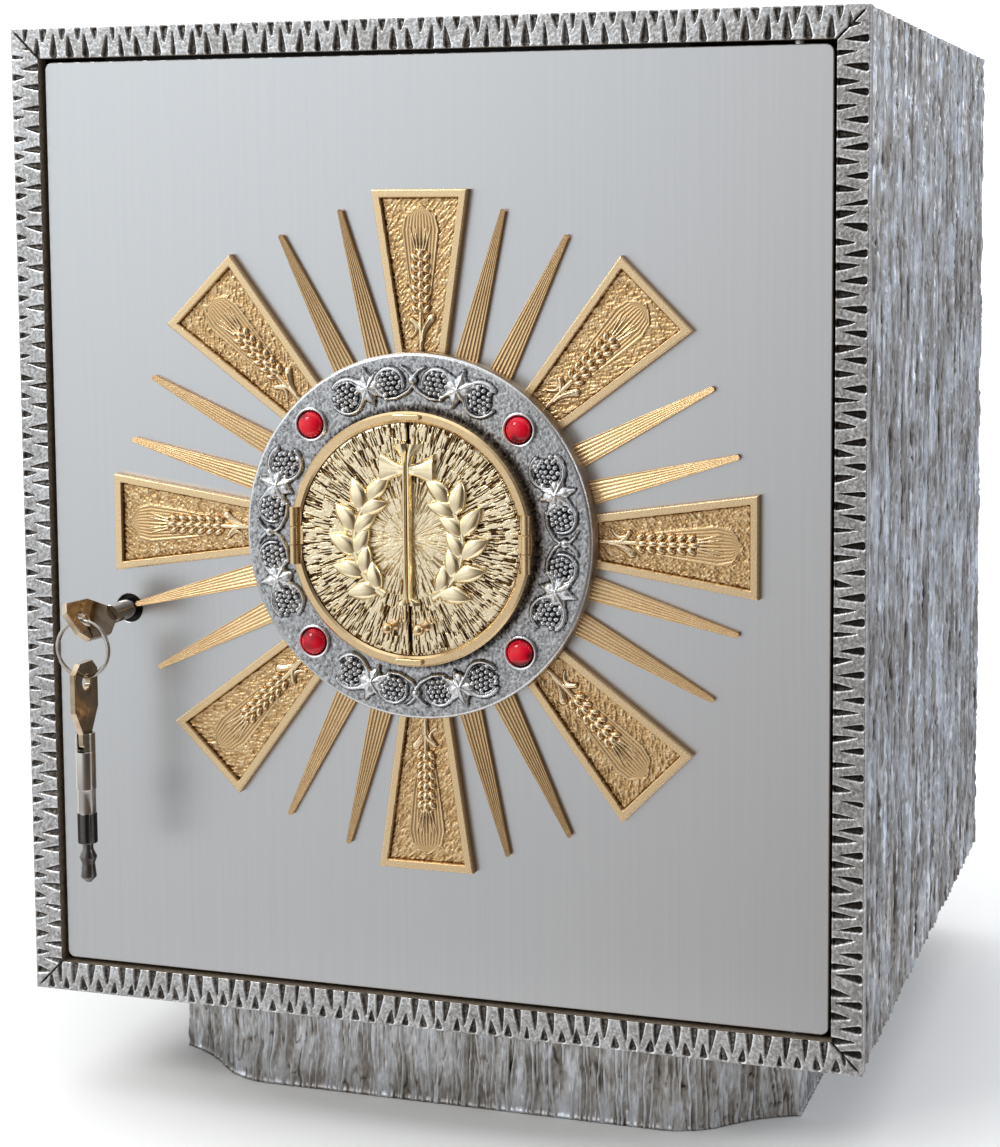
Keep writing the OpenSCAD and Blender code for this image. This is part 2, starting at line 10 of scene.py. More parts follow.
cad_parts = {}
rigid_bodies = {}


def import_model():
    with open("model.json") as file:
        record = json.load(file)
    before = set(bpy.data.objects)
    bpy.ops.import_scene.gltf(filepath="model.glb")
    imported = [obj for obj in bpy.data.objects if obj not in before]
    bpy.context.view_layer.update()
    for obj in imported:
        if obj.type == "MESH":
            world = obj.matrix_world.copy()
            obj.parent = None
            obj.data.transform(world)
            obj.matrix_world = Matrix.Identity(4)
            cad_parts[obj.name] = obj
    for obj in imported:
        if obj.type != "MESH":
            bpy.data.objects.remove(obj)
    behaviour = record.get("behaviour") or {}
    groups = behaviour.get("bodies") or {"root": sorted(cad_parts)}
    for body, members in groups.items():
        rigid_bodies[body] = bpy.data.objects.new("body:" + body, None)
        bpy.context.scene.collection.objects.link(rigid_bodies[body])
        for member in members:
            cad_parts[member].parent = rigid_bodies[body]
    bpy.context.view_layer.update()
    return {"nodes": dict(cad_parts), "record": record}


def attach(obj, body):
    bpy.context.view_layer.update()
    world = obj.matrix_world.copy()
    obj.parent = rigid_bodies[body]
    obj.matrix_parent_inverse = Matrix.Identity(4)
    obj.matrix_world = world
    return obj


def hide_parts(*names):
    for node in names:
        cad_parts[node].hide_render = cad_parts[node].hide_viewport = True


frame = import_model()
MM = 0.001
rad = math.radians

# The cabinet in millimetres: half its width, depth and height, then its lower, middle and upper levels.
WIDE, DEEP, TALL = 165, 155, 187.5
LOW, MIDDLE, HIGH = 42.5, 230, 417.5
RAIL_WIDE, SKIN = 11.3, 6
X_AXIS, Y_AXIS, Z_AXIS = (1, 0, 0), (0, 1, 0), (0, 0, 1)
BACK_TONE = 0.34


# ---------- noise ----------

def lattice(i, j, seed):
    n = (i * 374761393 + j * 668265263 + seed * 2147001325) & 0xFFFFFFFF
    n = ((n ^ (n >> 13)) * 1274126177) & 0xFFFFFFFF
    return ((n ^ (n >> 16)) & 0xFFFF) / 32767.5 - 1.0


def noise(x, y, seed):
    """Smooth value noise from -1 to 1."""
    xi, yi = np.floor(x), np.floor(y)
    fx, fy = x - xi, y - yi
    i, j = xi.astype(np.int64), yi.astype(np.int64)
    sx, sy = fx * fx * (3 - 2 * fx), fy * fy * (3 - 2 * fy)
    low = lattice(i, j, seed) * (1 - sx) + lattice(i + 1, j, seed) * sx
    high = lattice(i, j + 1, seed) * (1 - sx) + lattice(i + 1, j + 1, seed) * sx
    return low * (1 - sy) + high * sy


def step(lo, hi, x):
    t = np.clip((x - lo) / (hi - lo), 0, 1)
    return t * t * (3 - 2 * t)


# ---------- meshes ----------

def add_object(name, data):
    obj = bpy.data.objects.new(name, data)
    bpy.context.scene.collection.objects.link(obj)
    return obj


def build(name, verts, quads, polys, material, body, stands_for, tone=None, flat_quads=0):
    """A mesh from points in millimetres. Only polys and the last flat_quads of the quads are shaded flat."""
    quads = np.asarray(quads, np.int32).reshape(-1, 4)
    sizes = [4] * len(quads) + [len(p) for p in polys]
    loops = np.concatenate([quads.ravel()] + [np.asarray(p, np.int32) for p in polys])
    mesh = bpy.data.meshes.new(name)
    mesh.vertices.add(len(verts))
    mesh.vertices.foreach_set("co", (np.asarray(verts, float) * MM).astype(np.float32).ravel())
    mesh.loops.add(len(loops))
    mesh.loops.foreach_set("vertex_index", loops)
    starts = np.concatenate([[0], np.cumsum(sizes)[:-1]]).astype(np.int32)
    mesh.polygons.add(len(sizes))
    mesh.polygons.foreach_set("loop_start", starts)
    smooth = np.zeros(len(sizes), bool)
    smooth[: len(quads) - flat_quads] = True
    mesh.polygons.foreach_set("use_smooth", smooth)
    if tone is not None:
        layer = mesh.attributes.new("tone", "FLOAT", "POINT")
        layer.data.foreach_set("value", np.asarray(tone, np.float32).ravel())
    mesh.update(calc_edges=True)
    mesh.validate()
    obj = add_object(name, mesh)
    mesh.materials.append(material)
    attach(obj, body)
    if stands_for:
        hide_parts(*stands_for)
    return obj


def grid_quads(n, m, closed=False, start=0):
    """Quads of an n by m grid of points stored row by row; closed joins the last column to the first."""
    i, j = np.meshgrid(np.arange(n - 1), np.arange(m if closed else m - 1), indexing="ij")
    a = i * m + j
    b = i * m + (j + 1) % m
    return np.stack([a, b, b + m, a + m], -1).reshape(-1, 4) + start


def relief(name, parts, material, body, stands_for, sharp=None):
    """Closed solids in one mesh. Each part is a front grid (n, m, 3), the back points (n, 2, 3) behind its
    first and last columns, and the tone of the grid."""
    verts, quads, walls, polys, tones, base = [], [], [], [], [], 0
    for front, back, tone in parts:
        n, m = front.shape[:2]
        verts += [front.reshape(-1, 3), back.reshape(-1, 3)]
        quads.append(grid_quads(n, m, start=base))
        f0, f1 = base + np.arange(n) * m, base + np.arange(n) * m + m - 1
        b0 = base + n * m + 2 * np.arange(n)
        b1 = b0 + 1
        walls += [np.stack(four, -1) for four in ((f0[:-1], f0[1:], b0[1:], b0[:-1]),
                                                  (f1[1:], f1[:-1], b1[:-1], b1[1:]),
                                                  (b0[:-1], b0[1:], b1[1:], b1[:-1]))]
        polys += [[base + k for k in range(m)] + [int(b1[0]), int(b0[0])],
                  [base + k for k in range(n * m - 1, (n - 1) * m - 1, -1)] + [int(b0[-1]), int(b1[-1])]]
        tones += [np.asarray(tone).ravel(), np.full(2 * n, BACK_TONE)]
        base += n * m + 2 * n
    walls = np.concatenate(walls)
    obj = orient(build(name, np.concatenate(verts), np.concatenate(quads + [walls]), polys, material, body,
                       stands_for, np.concatenate(tones), len(walls)))
    if sharp:
        sharpen(obj, sharp)
    return obj


def backs(place, U, V, h):
    """Back points at height h behind the first and last columns of a grid."""
    return np.stack([place(U[:, j], V[:, j], np.full(len(U), h)) for j in (0, -1)], 1)


def orient(obj):
    """Turns all faces outward."""
    bm = bmesh.new()
    bm.from_mesh(obj.data)
    bmesh.ops.recalc_face_normals(bm, faces=bm.faces)
    bm.to_mesh(obj.data)
    bm.free()
    return obj


def plate(name, loops, place, thick, bevel, material, body, stands_for):
    """A flat plate with bevelled edges. loops are outlines in 2-D, the outer one first, and place(u, v, h)
    gives the point at height h above the back."""
    verts, quads, fronts, rears = [], [], [], []
    for k, loop in enumerate(loops):
        p = np.asarray(loop, float)
        area = np.sum(p[:, 0] * np.roll(p[:, 1], -1) - p[:, 1] * np.roll(p[:, 0], -1))
        if (area > 0) != (k == 0):
            p = p[::-1]
        e0 = p - np.roll(p, 1, 0)
        e1 = np.roll(p, -1, 0) - p
        e0 /= np.linalg.norm(e0, axis=1)[:, None]
        e1 /= np.linalg.norm(e1, axis=1)[:, None]
        n0 = np.stack([-e0[:, 1], e0[:, 0]], -1)
        n1 = np.stack([-e1[:, 1], e1[:, 0]], -1)
        mid = n0 + n1
        inset = mid / np.maximum(np.sum(mid * n0, 1), 0.35)[:, None]
        start = len(verts)
        for by, h in ((bevel, 0), (bevel * 0.3, bevel * 0.3), (0, bevel), (0, thick - bevel),
                      (bevel * 0.3, thick - bevel * 0.3), (bevel, thick)):
            verts += [place(u, v, h) for u, v in p + inset * by]
        quads.append(grid_quads(6, len(p), True, start))
        fronts.append((start + 5 * len(p), p + inset * bevel))
        rears.append((start, p + inset * bevel))
    polys = []
    for group in (fronts, rears):
        index = np.concatenate([np.arange(a, a + len(q)) for a, q in group])
        for tri in tessellate_polygon([[Vector((u, v, 0)) for u, v in q] for _, q in group]):
            polys.append([int(index[t]) for t in tri])
    obj = orient(build(name, verts, np.concatenate(quads), polys, material, body, stands_for))
    sharpen(obj, 22)
    return obj


def lathe(name, profile, place, sides, material, body, stands_for, ripple=None, shade=None):
    """A surface of revolution. profile lists (radius, height) and place(x, y, h) gives the point.
    ripple(h, angle) adds to the radius, and shade(h, angle) is the tone."""
    prof = np.asarray(profile, float)
    ang = np.arange(sides) * 2 * np.pi / sides
    r = prof[:, :1] + (ripple(prof[:, 1:], ang[None, :]) if ripple else 0)
    pts = [place(a, b, c) for a, b, c in zip((r * np.cos(ang)).ravel(), (r * np.sin(ang)).ravel(),
                                             np.repeat(prof[:, 1], sides))]
    n = len(prof)
    quads = grid_quads(n, sides, True)
    polys = [list(range(sides)), list(range((n - 1) * sides, n * sides))]
    tone = shade(prof[:, 1:], ang[None, :]).ravel() if shade else np.full(len(pts), 0.8)
    obj = orient(build(name, pts, quads, polys, material, body, stands_for, tone))
    sharpen(obj, 35)
    return obj


def sharpen(obj, degrees):
    """Smooth shading that breaks at edges sharper than an angle."""
    mesh = obj.data
    mesh.polygons.foreach_set("use_smooth", np.ones(len(mesh.polygons), bool))
    mesh.set_sharp_from_angle(angle=math.radians(degrees))


# ---------- materials ----------

def shader(name):
    material = bpy.data.materials.new(name)
    material.use_nodes = True
    return material, material.node_tree, material.node_tree.nodes["Principled BSDF"]


def link(tree, out, socket):
    tree.links.new(out, socket)


def preset(node, **values):
    """Sets unlinked sockets; an underscore in a key stands for a space."""
    for key, value in values.items():
        node.inputs[key.replace("_", " ")].default_value = value


def grain(tree, scale, detail, rough, stretch=(1, 1, 1)):
    """Noise in the object's own space."""
    mapping = tree.nodes.new("ShaderNodeMapping")
    preset(mapping, Scale=stretch)
    link(tree, tree.nodes.new("ShaderNodeTexCoord").outputs["Object"], mapping.inputs["Vector"])
    texture = tree.nodes.new("ShaderNodeTexNoise")
    preset(texture, Scale=scale, Detail=detail, Roughness=rough)
    link(tree, mapping.outputs["Vector"], texture.inputs["Vector"])
    return texture.outputs["Fac"]


def ramp(tree, fac, stops):
    node = tree.nodes.new("ShaderNodeValToRGB")
    band = node.color_ramp
    while len(band.elements) < len(stops):
        band.elements.new(0.5)
    for element, (position, colour) in zip(band.elements, stops):
        element.position = position
        element.color = (*colour, 1)
    link(tree, fac, node.inputs["Fac"])
    return node.outputs["Color"]


def grey(tree, fac, lo, hi):
    node = tree.nodes.new("ShaderNodeMapRange")
    preset(node, To_Min=lo, To_Max=hi)
    link(tree, fac, node.inputs["Value"])
    return node.outputs["Result"]


def math_node(tree, op, a, b):
    node = tree.nodes.new("ShaderNodeMath")
    node.operation = op
    for socket, value in zip(node.inputs, (a, b)):
        if isinstance(value, (int, float)):
            socket.default_value = value
        else:
            link(tree, value, socket)
    return node.outputs["Value"]


def dress(tree, bsdf, value, stops, rough, height, strength, distance):
    """Lets one value drive colour and roughness, and another the bump."""
    link(tree, ramp(tree, value, stops), bsdf.inputs["Base Color"])
    link(tree, grey(tree, value, *rough), bsdf.inputs["Roughness"])
    node = tree.nodes.new("ShaderNodeBump")
    preset(node, Strength=strength, Distance=distance)
    link(tree, height, node.inputs["Height"])
    link(tree, node.outputs["Normal"], bsdf.inputs["Normal"])


def patinated(name, stops, rough, fine, stretch=(1, 1, 1), speckle=0.25, metallic=1.0, bump_depth=0.0002):
    """Cast or chased metal: the colour runs from patina in the hollows to bright metal on the high places."""
    material, tree, bsdf = shader(name)
    speck = grain(tree, fine, 5, 0.65, stretch)
    node = tree.nodes.new("ShaderNodeAttribute")
    node.attribute_name = "tone"
    tone = math_node(tree, "ADD", node.outputs["Fac"], grey(tree, speck, -speckle, speckle))
    dress(tree, bsdf, tone, stops, rough, speck, 0.5, bump_depth)
    preset(bsdf, Metallic=metallic)
    return material


def metal(name, dark, light, rough, fine, stretch=(1, 1, 1), depth=0.00005, metallic=1.0, strength=0.3,
          aniso=0.0):
    """Plain metal with a faint grain in colour, roughness and height."""
    material, tree, bsdf = shader(name)
    speck = grain(tree, fine, 4, 0.6, stretch)
    dress(tree, bsdf, speck, [(0.3, dark), (0.7, light)], rough, speck, strength, depth)
    preset(bsdf, Metallic=metallic, Anisotropic=aniso)
    return material


bark_stops = [(0.0, (0.010, 0.008, 0.007)), (0.25, (0.085, 0.068, 0.055)), (0.6, (0.34, 0.315, 0.29)),
              (1.0, (0.74, 0.77, 0.82))]
rail_stops = [(0.0, (0.022, 0.019, 0.017)), (0.25, (0.10, 0.088, 0.078)), (0.6, (0.40, 0.39, 0.38)),
              (1.0, (0.92, 0.93, 0.96))]
gold_stops = [(0.0, (0.045, 0.015, 0.004)), (0.25, (0.25, 0.115, 0.03)), (0.6, (0.67, 0.435, 0.205)),
              (1.0, (0.95, 0.77, 0.50))]
pale_stops = [(0.0, (0.035, 0.016, 0.010)), (0.3, (0.33, 0.20, 0.08)), (0.65, (0.82, 0.65, 0.38)),
              (1.0, (1.0, 0.89, 0.66))]
medal_stops = [(0.0, (0.010, 0.010, 0.012)), (0.25, (0.11, 0.11, 0.115)), (0.55, (0.44, 0.445, 0.455)),
               (1.0, (0.92, 0.93, 0.95))]

BARK = patinated("cast_bark", bark_stops, (0.55, 0.28), 700, (1, 1, 0.3), 0.30)
RAIL = patinated("antique_rail", rail_stops, (0.5, 0.26), 1100, (1, 1, 1), 0.36, 0.9)
GOLD = patinated("chased_gold", gold_stops, (0.42, 0.24), 1500, (1, 1, 1), 0.17)
PALE = patinated("chased_pale_gold", pale_stops, (0.4, 0.2), 1500, (1, 1, 1), 0.12)
MEDAL = patinated("antique_silver", medal_stops, (0.5, 0.22), 1400, (1, 1, 0.5), 0.26)
SATIN = metal("satin_door", (0.60, 0.608, 0.62), (0.63, 0.635, 0.64), (0.27, 0.36), 900, (1, 1, 0.012),
              depth=0.00001, strength=0.2, aniso=0.4)
RIM_GOLD = metal("satin_rim_gold", (0.70, 0.50, 0.27), (0.80, 0.60, 0.35), (0.2, 0.3), 700)
# The medallion's polished outer wall: its brown and beige patches are painted reflections of the gold rays.
EDGE_PAINTED_REFLECTION = metal("edge_painted_reflections", (0.20, 0.13, 0.08), (0.72, 0.62, 0.49), (0.22, 0.38), 75, (1, 2.5, 1),
             metallic=0.75)
ORNAMENT = metal("polished_pale_gold", (0.93, 0.78, 0.50), (0.98, 0.86, 0.60), (0.12, 0.22), 500)
POLISHED = metal("polished_silver", (0.70, 0.67, 0.62), (0.78, 0.75, 0.70), (0.10, 0.18), 500)
NICKEL = metal("polished_nickel", (0.40, 0.37, 0.33), (0.54, 0.51, 0.47), (0.05, 0.11), 600)
# Nickel for the key bows; its brown tan colour is a painted reflection of warm brown surroundings.
NICKEL_PAINTED_WARM_REFLECTION = metal("nickel_painted_warm_reflection", (0.36, 0.26, 0.16), (0.58, 0.48, 0.37), (0.06, 0.13), 150)
STEM_NICKEL = patinated("toned_stem_nickel", [(0.0, (0.015, 0.015, 0.016)), (0.5, (0.16, 0.15, 0.145)),
                                 (1.0, (0.55, 0.52, 0.48))], (0.4, 0.06), 600, speckle=0.08, bump_depth=0.00003)
LIP = metal("brown_lip", (0.19, 0.145, 0.10), (0.38, 0.31, 0.235), (0.45, 0.6), 500, metallic=0.4)
CAST = metal("rough_casting", (0.10, 0.09, 0.08), (0.36, 0.34, 0.32), (0.4, 0.6), 400, depth=0.0004)
STEEL = metal("plain_steel", (0.34, 0.34, 0.35), (0.46, 0.46, 0.47), (0.35, 0.5), 500)
FASTENER = metal("zinc_fastener", (0.55, 0.55, 0.56), (0.68, 0.68, 0.70), (0.2, 0.35), 900)
LINER = metal("satin_gilt_liner", (0.74, 0.54, 0.24), (0.83, 0.63, 0.32), (0.28, 0.4), 300, (1, 1, 0.05))
DARK = metal("blackened_iron", (0.02, 0.02, 0.02), (0.05, 0.048, 0.045), (0.45, 0.6), 700)
BRONZE = metal("turned_bronze", (0.42, 0.26, 0.12), (0.56, 0.37, 0.18), (0.25, 0.4), 600, (1, 1, 6))
RUBBER = metal("matt_rubber", (0.015, 0.015, 0.016), (0.03, 0.03, 0.031), (0.75, 0.9), 900, metallic=0.0,
               depth=0.0001)


def stone_material():
    material, tree, bsdf = shader("red_cabochon")
    # Painted light: the dark burgundy patches stand for dark reflections and the bright red ones for light
    # shining back through the stone.
    painted_light_patches = grain(tree, 170, 1, 0.4)
    stops = [(0.36, (0.16, 0.0, 0.008)), (0.5, (0.72, 0.0, 0.02)), (0.64, (0.92, 0.004, 0.03))]
    link(tree, ramp(tree, painted_light_patches, stops), bsdf.inputs["Base Color"])
    preset(bsdf, Roughness=0.05, IOR=1.45)
    return material


def pane_material():
    material, tree, bsdf = shader("window_pane")
    haze = grain(tree, 60, 2, 0.5)
    link(tree, grey(tree, haze, 0.0, 0.06), bsdf.inputs["Roughness"])
    preset(bsdf, Base_Color=(0.93, 0.97, 0.98, 1), Transmission_Weight=1.0, IOR=1.46)
    return material


STONE = stone_material()
PANE = pane_material()

BY_SLOT = {
    "bark": CAST, "antique": CAST, "steel": STEEL, "fastener": FASTENER, "gilt_liner": LINER,
    "rubber": RUBBER, "satin": SATIN, "dark": DARK, "bronze": BRONZE, "gold": RIM_GOLD, "medal": POLISHED,
    "stone": STONE, "pane": PANE, "leaf_gold": RIM_GOLD, "nickel": NICKEL,
}
for part in frame["record"]["subparts"]:
    obj = frame["nodes"][part["node"]]
    if not obj.data.materials:
        obj.data.materials.append(None)
    for k in range(len(obj.data.materials)):
        obj.data.materials[k] = DARK if part["node"] == "stop_bars" else BY_SLOT[part["material_slot"]]


# ---------- cast bark ----------

def bark(u, v, seed, pitch=4.4, deep=1.6, floor_tone=0.36):
    """Depth below the face, in millimetres, and tone of raised veins that run along v over a rough ground."""
    wander = 1.5 * noise(u / 17, v / 24, seed + 3) + 0.7 * noise(u / 6, v / 8, seed + 4)
    veins = np.zeros_like(u)
    for k, (p, w, length, amount) in enumerate([(pitch, 0.46, 17, 1.0), (pitch * 0.57, 0.36, 9, 0.75),
                                                (pitch * 1.73, 0.62, 22, 0.95)]):
        q = (u + wander) / p + 0.37 * k
        i = np.floor(q)
        row = i * 3.7 + 0.5
        centre = 0.5 + 0.2 * lattice(i.astype(np.int64), k, seed)
        centre = centre + 0.22 * noise(row, v / (0.8 * length), seed + 30 + k)
        shown = step(-0.5, 0.2, noise(row, v / length, seed + 40 + k))
        veins = np.maximum(veins, amount * shown * np.exp(-(((q - i - centre) * p) / w) ** 2))
    pits = 0.5 * noise(u / 1.1, v / 2.6, seed + 50) + 0.5 * noise(u / 0.6, v / 1.2, seed + 51)
    trough = noise((u + wander) / (pitch * 0.9), v / 19, seed + 53)
    streak = noise(u / 7.5, v / 30, seed + 54)
    ground = np.clip(0.24 + 0.13 * pits + 0.16 * trough, 0, 0.6)
    high = np.clip(np.maximum(ground, veins), 0, 1)
    tone = floor_tone + 0.16 * pits + 0.26 * trough + 0.10 * streak
    # Painted shadow: thin dark lines that run with the veins stand for the shadows beside them; the surface is
    # not cut there.
    painted_shadow_lines = step(0.14, 0.0, np.abs(noise((u + wander) / 2.7, v / 12, seed + 55)))
    painted_shadow_lines = painted_shadow_lines * step(-0.4, 0.2, noise(u / 5, v / 9, seed + 56))
    tone = tone - 0.42 * painted_shadow_lines
    tone = tone + (0.86 + 0.10 * streak - tone) * step(0.2, 0.8, veins)
    return deep * (1 - high) + 0.04, np.clip(tone, 0.04, 1)


def bark_panel(name, node, corner, right, up, normal, size_u, size_v, seed, pitch=5.0, floor_tone=0.62):
    """A flat cast panel: corner is the low corner of its outer face, and normal points outward."""
    n, m = int(size_u / 0.72) + 1, int(size_v / 1.65) + 1
    u, v = np.meshgrid(np.linspace(0, size_u, n), np.linspace(0, size_v, m), indexing="ij")
    depth, tone = bark(u, v, seed, pitch, floor_tone=floor_tone)
    # Painted highlights and painted shade: the bright streaks stand for light caught on the ridges, the dark
    # ones for shade in the gaps.
    bright = step(0.0, 0.7, noise(u / 2.8, v / 15, seed + 60))
    bright = bright + step(0.1, 0.7, noise(u / 4.2, v / 26, seed + 61))
    dark = step(0.0, 0.8, noise(u / 2.6, v / 18, seed + 62))
    tone = np.clip(0.9 * tone + 0.19 * bright - 0.26 * dark, 0.03, 1)
    c, a, b, w = (np.array(t, float) for t in (corner, right, up, normal))
    front = c + u[..., None] * a + v[..., None] * b - depth[..., None] * w
    ends = [c + u[:, k, None] * a + v[:, k, None] * b - SKIN * w for k in (0, -1)]
    return relief(name, [(front, np.stack(ends, 1), tone)], BARK, "cabinet", [node])


bark_panel("bark_side_right", "side_right", (WIDE, -149, LOW), Y_AXIS, Z_AXIS, X_AXIS, 304, 375, 100, 6.5)
bark_panel("bark_side_left", "side_left", (-WIDE, -149, LOW), Y_AXIS, Z_AXIS, (-1, 0, 0), 304, 375, 200, 6.5)
bark_panel("bark_top", "top_panel", (-159, -149, HIGH), X_AXIS, Y_AXIS, Z_AXIS, 318, 304, 300, 5.0, 0.50)
bark_panel("bark_back", "back_panel", (-159, DEEP, 48.5), X_AXIS, Z_AXIS, Y_AXIS, 318, 363, 400)


# ---------- plinth ----------

def arc_from(p, heading, turn, r, n):
    """n points along an arc of radius r that leaves p at a heading and turns by an angle."""
    side = 1 if turn > 0 else -1
    c = np.array(p) + side * r * np.array([-math.sin(heading), math.cos(heading)])
    angles = heading + turn * np.arange(1, n + 1) / n
    return [c + side * r * np.array([math.sin(a), -math.cos(a)]) for a in angles]


PLINTH_WIDE, PLINTH_FRONT, PLINTH_HIGH = 131, -123, 42.5
ogee_start = (PLINTH_WIDE, -88)
curve_a = arc_from(ogee_start, rad(200), rad(28), 63, 14)
curve_b = arc_from(curve_a[-1], rad(228), rad(-48), 34, 20)
ogee = np.array([ogee_start] + curve_a + curve_b)
ogee[:, 1] += PLINTH_FRONT - ogee[-1, 1]
OGEE_Y = float(ogee[0, 1])
path = np.concatenate([ogee * [-1, 1], ogee[::-1]])


def along(points, spacing):
    """Points, normals to the right of travel and distances at an even spacing along a line."""
    seg = np.linalg.norm(np.diff(points, axis=0), axis=1)
    s = np.concatenate([[0], np.cumsum(seg)])
    n = int(s[-1] / spacing) + 1
    t = np.linspace(0, s[-1], n)
    p = np.stack([np.interp(t, s, points[:, k]) for k in (0, 1)], -1)
    d = np.gradient(p, axis=0)
    d /= np.linalg.norm(d, axis=1)[:, None]
    return p, np.stack([d[:, 1], -d[:, 0]], -1), t


def plinth_wall(name, points, seed, node, flip=False):
    """One wall of the plinth, whose veins sink at the foot; flip mirrors it to the back."""
    p, out, t = along(points, 0.5)
    u, v = np.meshgrid(t, np.linspace(0.0, PLINTH_HIGH, 48), indexing="ij")
    depth, tone = bark(u, v, seed, 3.6, 1.7, 0.66)
    depth *= 0.35 + 0.65 * step(0, 1.6, v)
    front = np.concatenate([p[:, None, :] - depth[..., None] * out[:, None, :], v[..., None]], -1)
    inner = p - 6.5 * out
    back = np.stack([np.concatenate([inner, np.full((len(p), 1), h)], 1) for h in (0.0, PLINTH_HIGH)], 1)
    if flip:
        front[..., 1] *= -1
        back[..., 1] *= -1
    return relief(name, [(front, back, tone)], BARK, "cabinet", [node])


plinth_wall("bark_plinth_front", path, 500, "plinth_front")
plinth_wall("bark_plinth_back", path, 600, "plinth_back", True)
for side, x, y, seed in (("right", PLINTH_WIDE, OGEE_Y, 700), ("left", -PLINTH_WIDE, -OGEE_Y, 800)):
    plinth_wall("bark_plinth_" + side, np.array([(x, y), (x, -y)]), seed, "plinth_sides")


# ---------- front frame ----------

def rail(side, half_out, pitch, seed, place, outer_len, inner_len, outer_inset, inner_inset, shade=0.66,
         deep=0.41):
    """A mitred rail with teardrop dents that come in turn from its outer and inner edges."""
    rng = np.random.default_rng(seed)
    n, m = int(2 * half_out / 0.3), 38
    s, b = np.meshgrid(np.linspace(-1, 1, n), np.linspace(0, RAIL_WIDE, m), indexing="ij")
    a = s * (half_out - b)
    depth = np.zeros_like(a)
    rim = np.zeros_like(a)
    count = int(round(2 * (half_out - 4) / pitch))
    for k in range(2 * count):
        outer = k % 2 == 0
        a0 = -half_out + 5 + (k + 0.5) * (2 * half_out - 10) / (2 * count) + rng.uniform(-0.6, 0.6)
        span = rng.uniform(*(outer_len if outer else inner_len))
        inset = outer_inset if outer else inner_inset
        w0 = rng.uniform(1.3, 1.7) * (1.0 if rng.random() > 0.12 else 0.7)
        lean = rng.uniform(-0.14, 0.14)
        b0 = inset + w0 * 0.5 if outer else RAIL_WIDE - inset - w0 * 0.5
        t = (b - b0) if outer else (b0 - b)
        x = a - a0 - lean * t
        far = np.clip(t / span, 0, 1)
        blunt = np.sqrt(np.clip(w0 * w0 - t * t * 1.2, 0.0004, None))
        wide = np.where(t < 0, blunt, w0 * (1 - far) ** 0.65 + 0.01)
        q = np.abs(x) / wide
        q = np.where(t > span, 9, q)
        hole = np.clip((1.02 - q) * 1.9, 0, 1) * (1.6 - 0.8 * far) * (0.05 + 0.95 * step(0.2, 1.1, b))
        hole = hole * (0.5 + 0.5 * step(0, 0.9, RAIL_WIDE - b))
        depth = np.maximum(depth, np.where(q < 1.02, hole, 0))
        # Painted highlight: the bright ring round each dent stands for light caught on its rounded edge.
        rim = np.maximum(rim, np.exp(-(((q - 1.22) / 0.22) ** 2)) * (t > -1.3) * (t < span))
    cut = np.exp(-((half_out - b - np.abs(a)) / 0.45) ** 2) * step(1.0, 2.5, b)
    depth = np.maximum(depth, cut * 1.3)
    pebble = 0.5 * noise(a / 0.9, b / 0.9, seed + 1) + 0.5 * noise(a / 0.45, b / 0.45, seed + 2)
    broad = noise(a / 14, b / 9, seed + 3)
    tone = np.clip(shade + 0.24 * pebble + 0.06 * broad + 0.32 * rim - deep * np.clip(depth, 0, 1), 0, 1)
    high = 0.05 + depth + 0.09 * (1 - pebble) * (depth < 0.2)
    front = np.stack(place(a, b, high), -1)
    lo = np.stack(place(a[:, 0], b[:, 0], np.full(n, 6.0)), -1)
    hi = np.stack(place(a[:, -1], b[:, -1], np.full(n, 6.0)), -1)
    return relief("dented_rail_" + side, [(front, np.stack([lo, hi], 1), tone)], RAIL, "cabinet",
                  ["rail_" + side])


rail("top", WIDE, 7.3, 11, lambda a, b, h: (a, -DEEP + h, HIGH - b), (4.2, 6.4), (6.6, 8.6), -0.6, 0.3)
rail("bottom", WIDE, 6.9, 12, lambda a, b, h: (a, -DEEP + h, LOW + b), (3.6, 5.2), (7.2, 9.2), 0.6, -0.4)
rail("left", TALL, 7.6, 13, lambda a, b, h: (-WIDE + b, -DEEP + h, MIDDLE + a), (4.0, 6.0), (5.6, 8.2), -0.6,
     -0.3)
# Painted shade: the right rail has a darker ground and darker dents than the other three.
rail("right", TALL, 9.1, 14, lambda a, b, h: (WIDE - b, -DEEP + h, MIDDLE + a), (7.0, 8.8), (6.0, 9.0), 0.5,
     -0.4, 0.60, 0.62)

# The rails' faces towards the door are a plain brown lip.
for side, axis, inner in (("top", 2, HIGH - RAIL_WIDE), ("bottom", 2, LOW + RAIL_WIDE),
                          ("left", 0, RAIL_WIDE - WIDE), ("right", 0, WIDE - RAIL_WIDE)):
    mesh = bpy.data.objects["dented_rail_" + side].data
    mesh.materials.append(LIP)
    centre = np.array([p.center[axis] / MM for p in mesh.polygons])
    mesh.polygons.foreach_set("material_index", (np.abs(centre - inner) < 0.02).astype(np.int32))


# ---------- star ----------

# The star's centre, the door's face, the medallion's rim and the wheat rays' ends and half angle.
CX, FACE, CZ = 1.0, -152.5, 230.0
HUB, RAY_END, RAY_ANGLE = 67.3, 126, rad(8.4)


def on_star(x, z, h):
    """A point at x to the right of and z above the star's centre, h in front of the door's face."""
    return (CX + x, FACE - h, CZ + z)


def turned(ang, mirror=1):
    """Placer of star points that are drawn along +X and turned by an angle."""
    c, sn = math.cos(ang), math.sin(ang)
    return lambda x, y, h: np.stack(on_star(mirror * (x * c - y * sn), x * sn + y * c, h), -1)


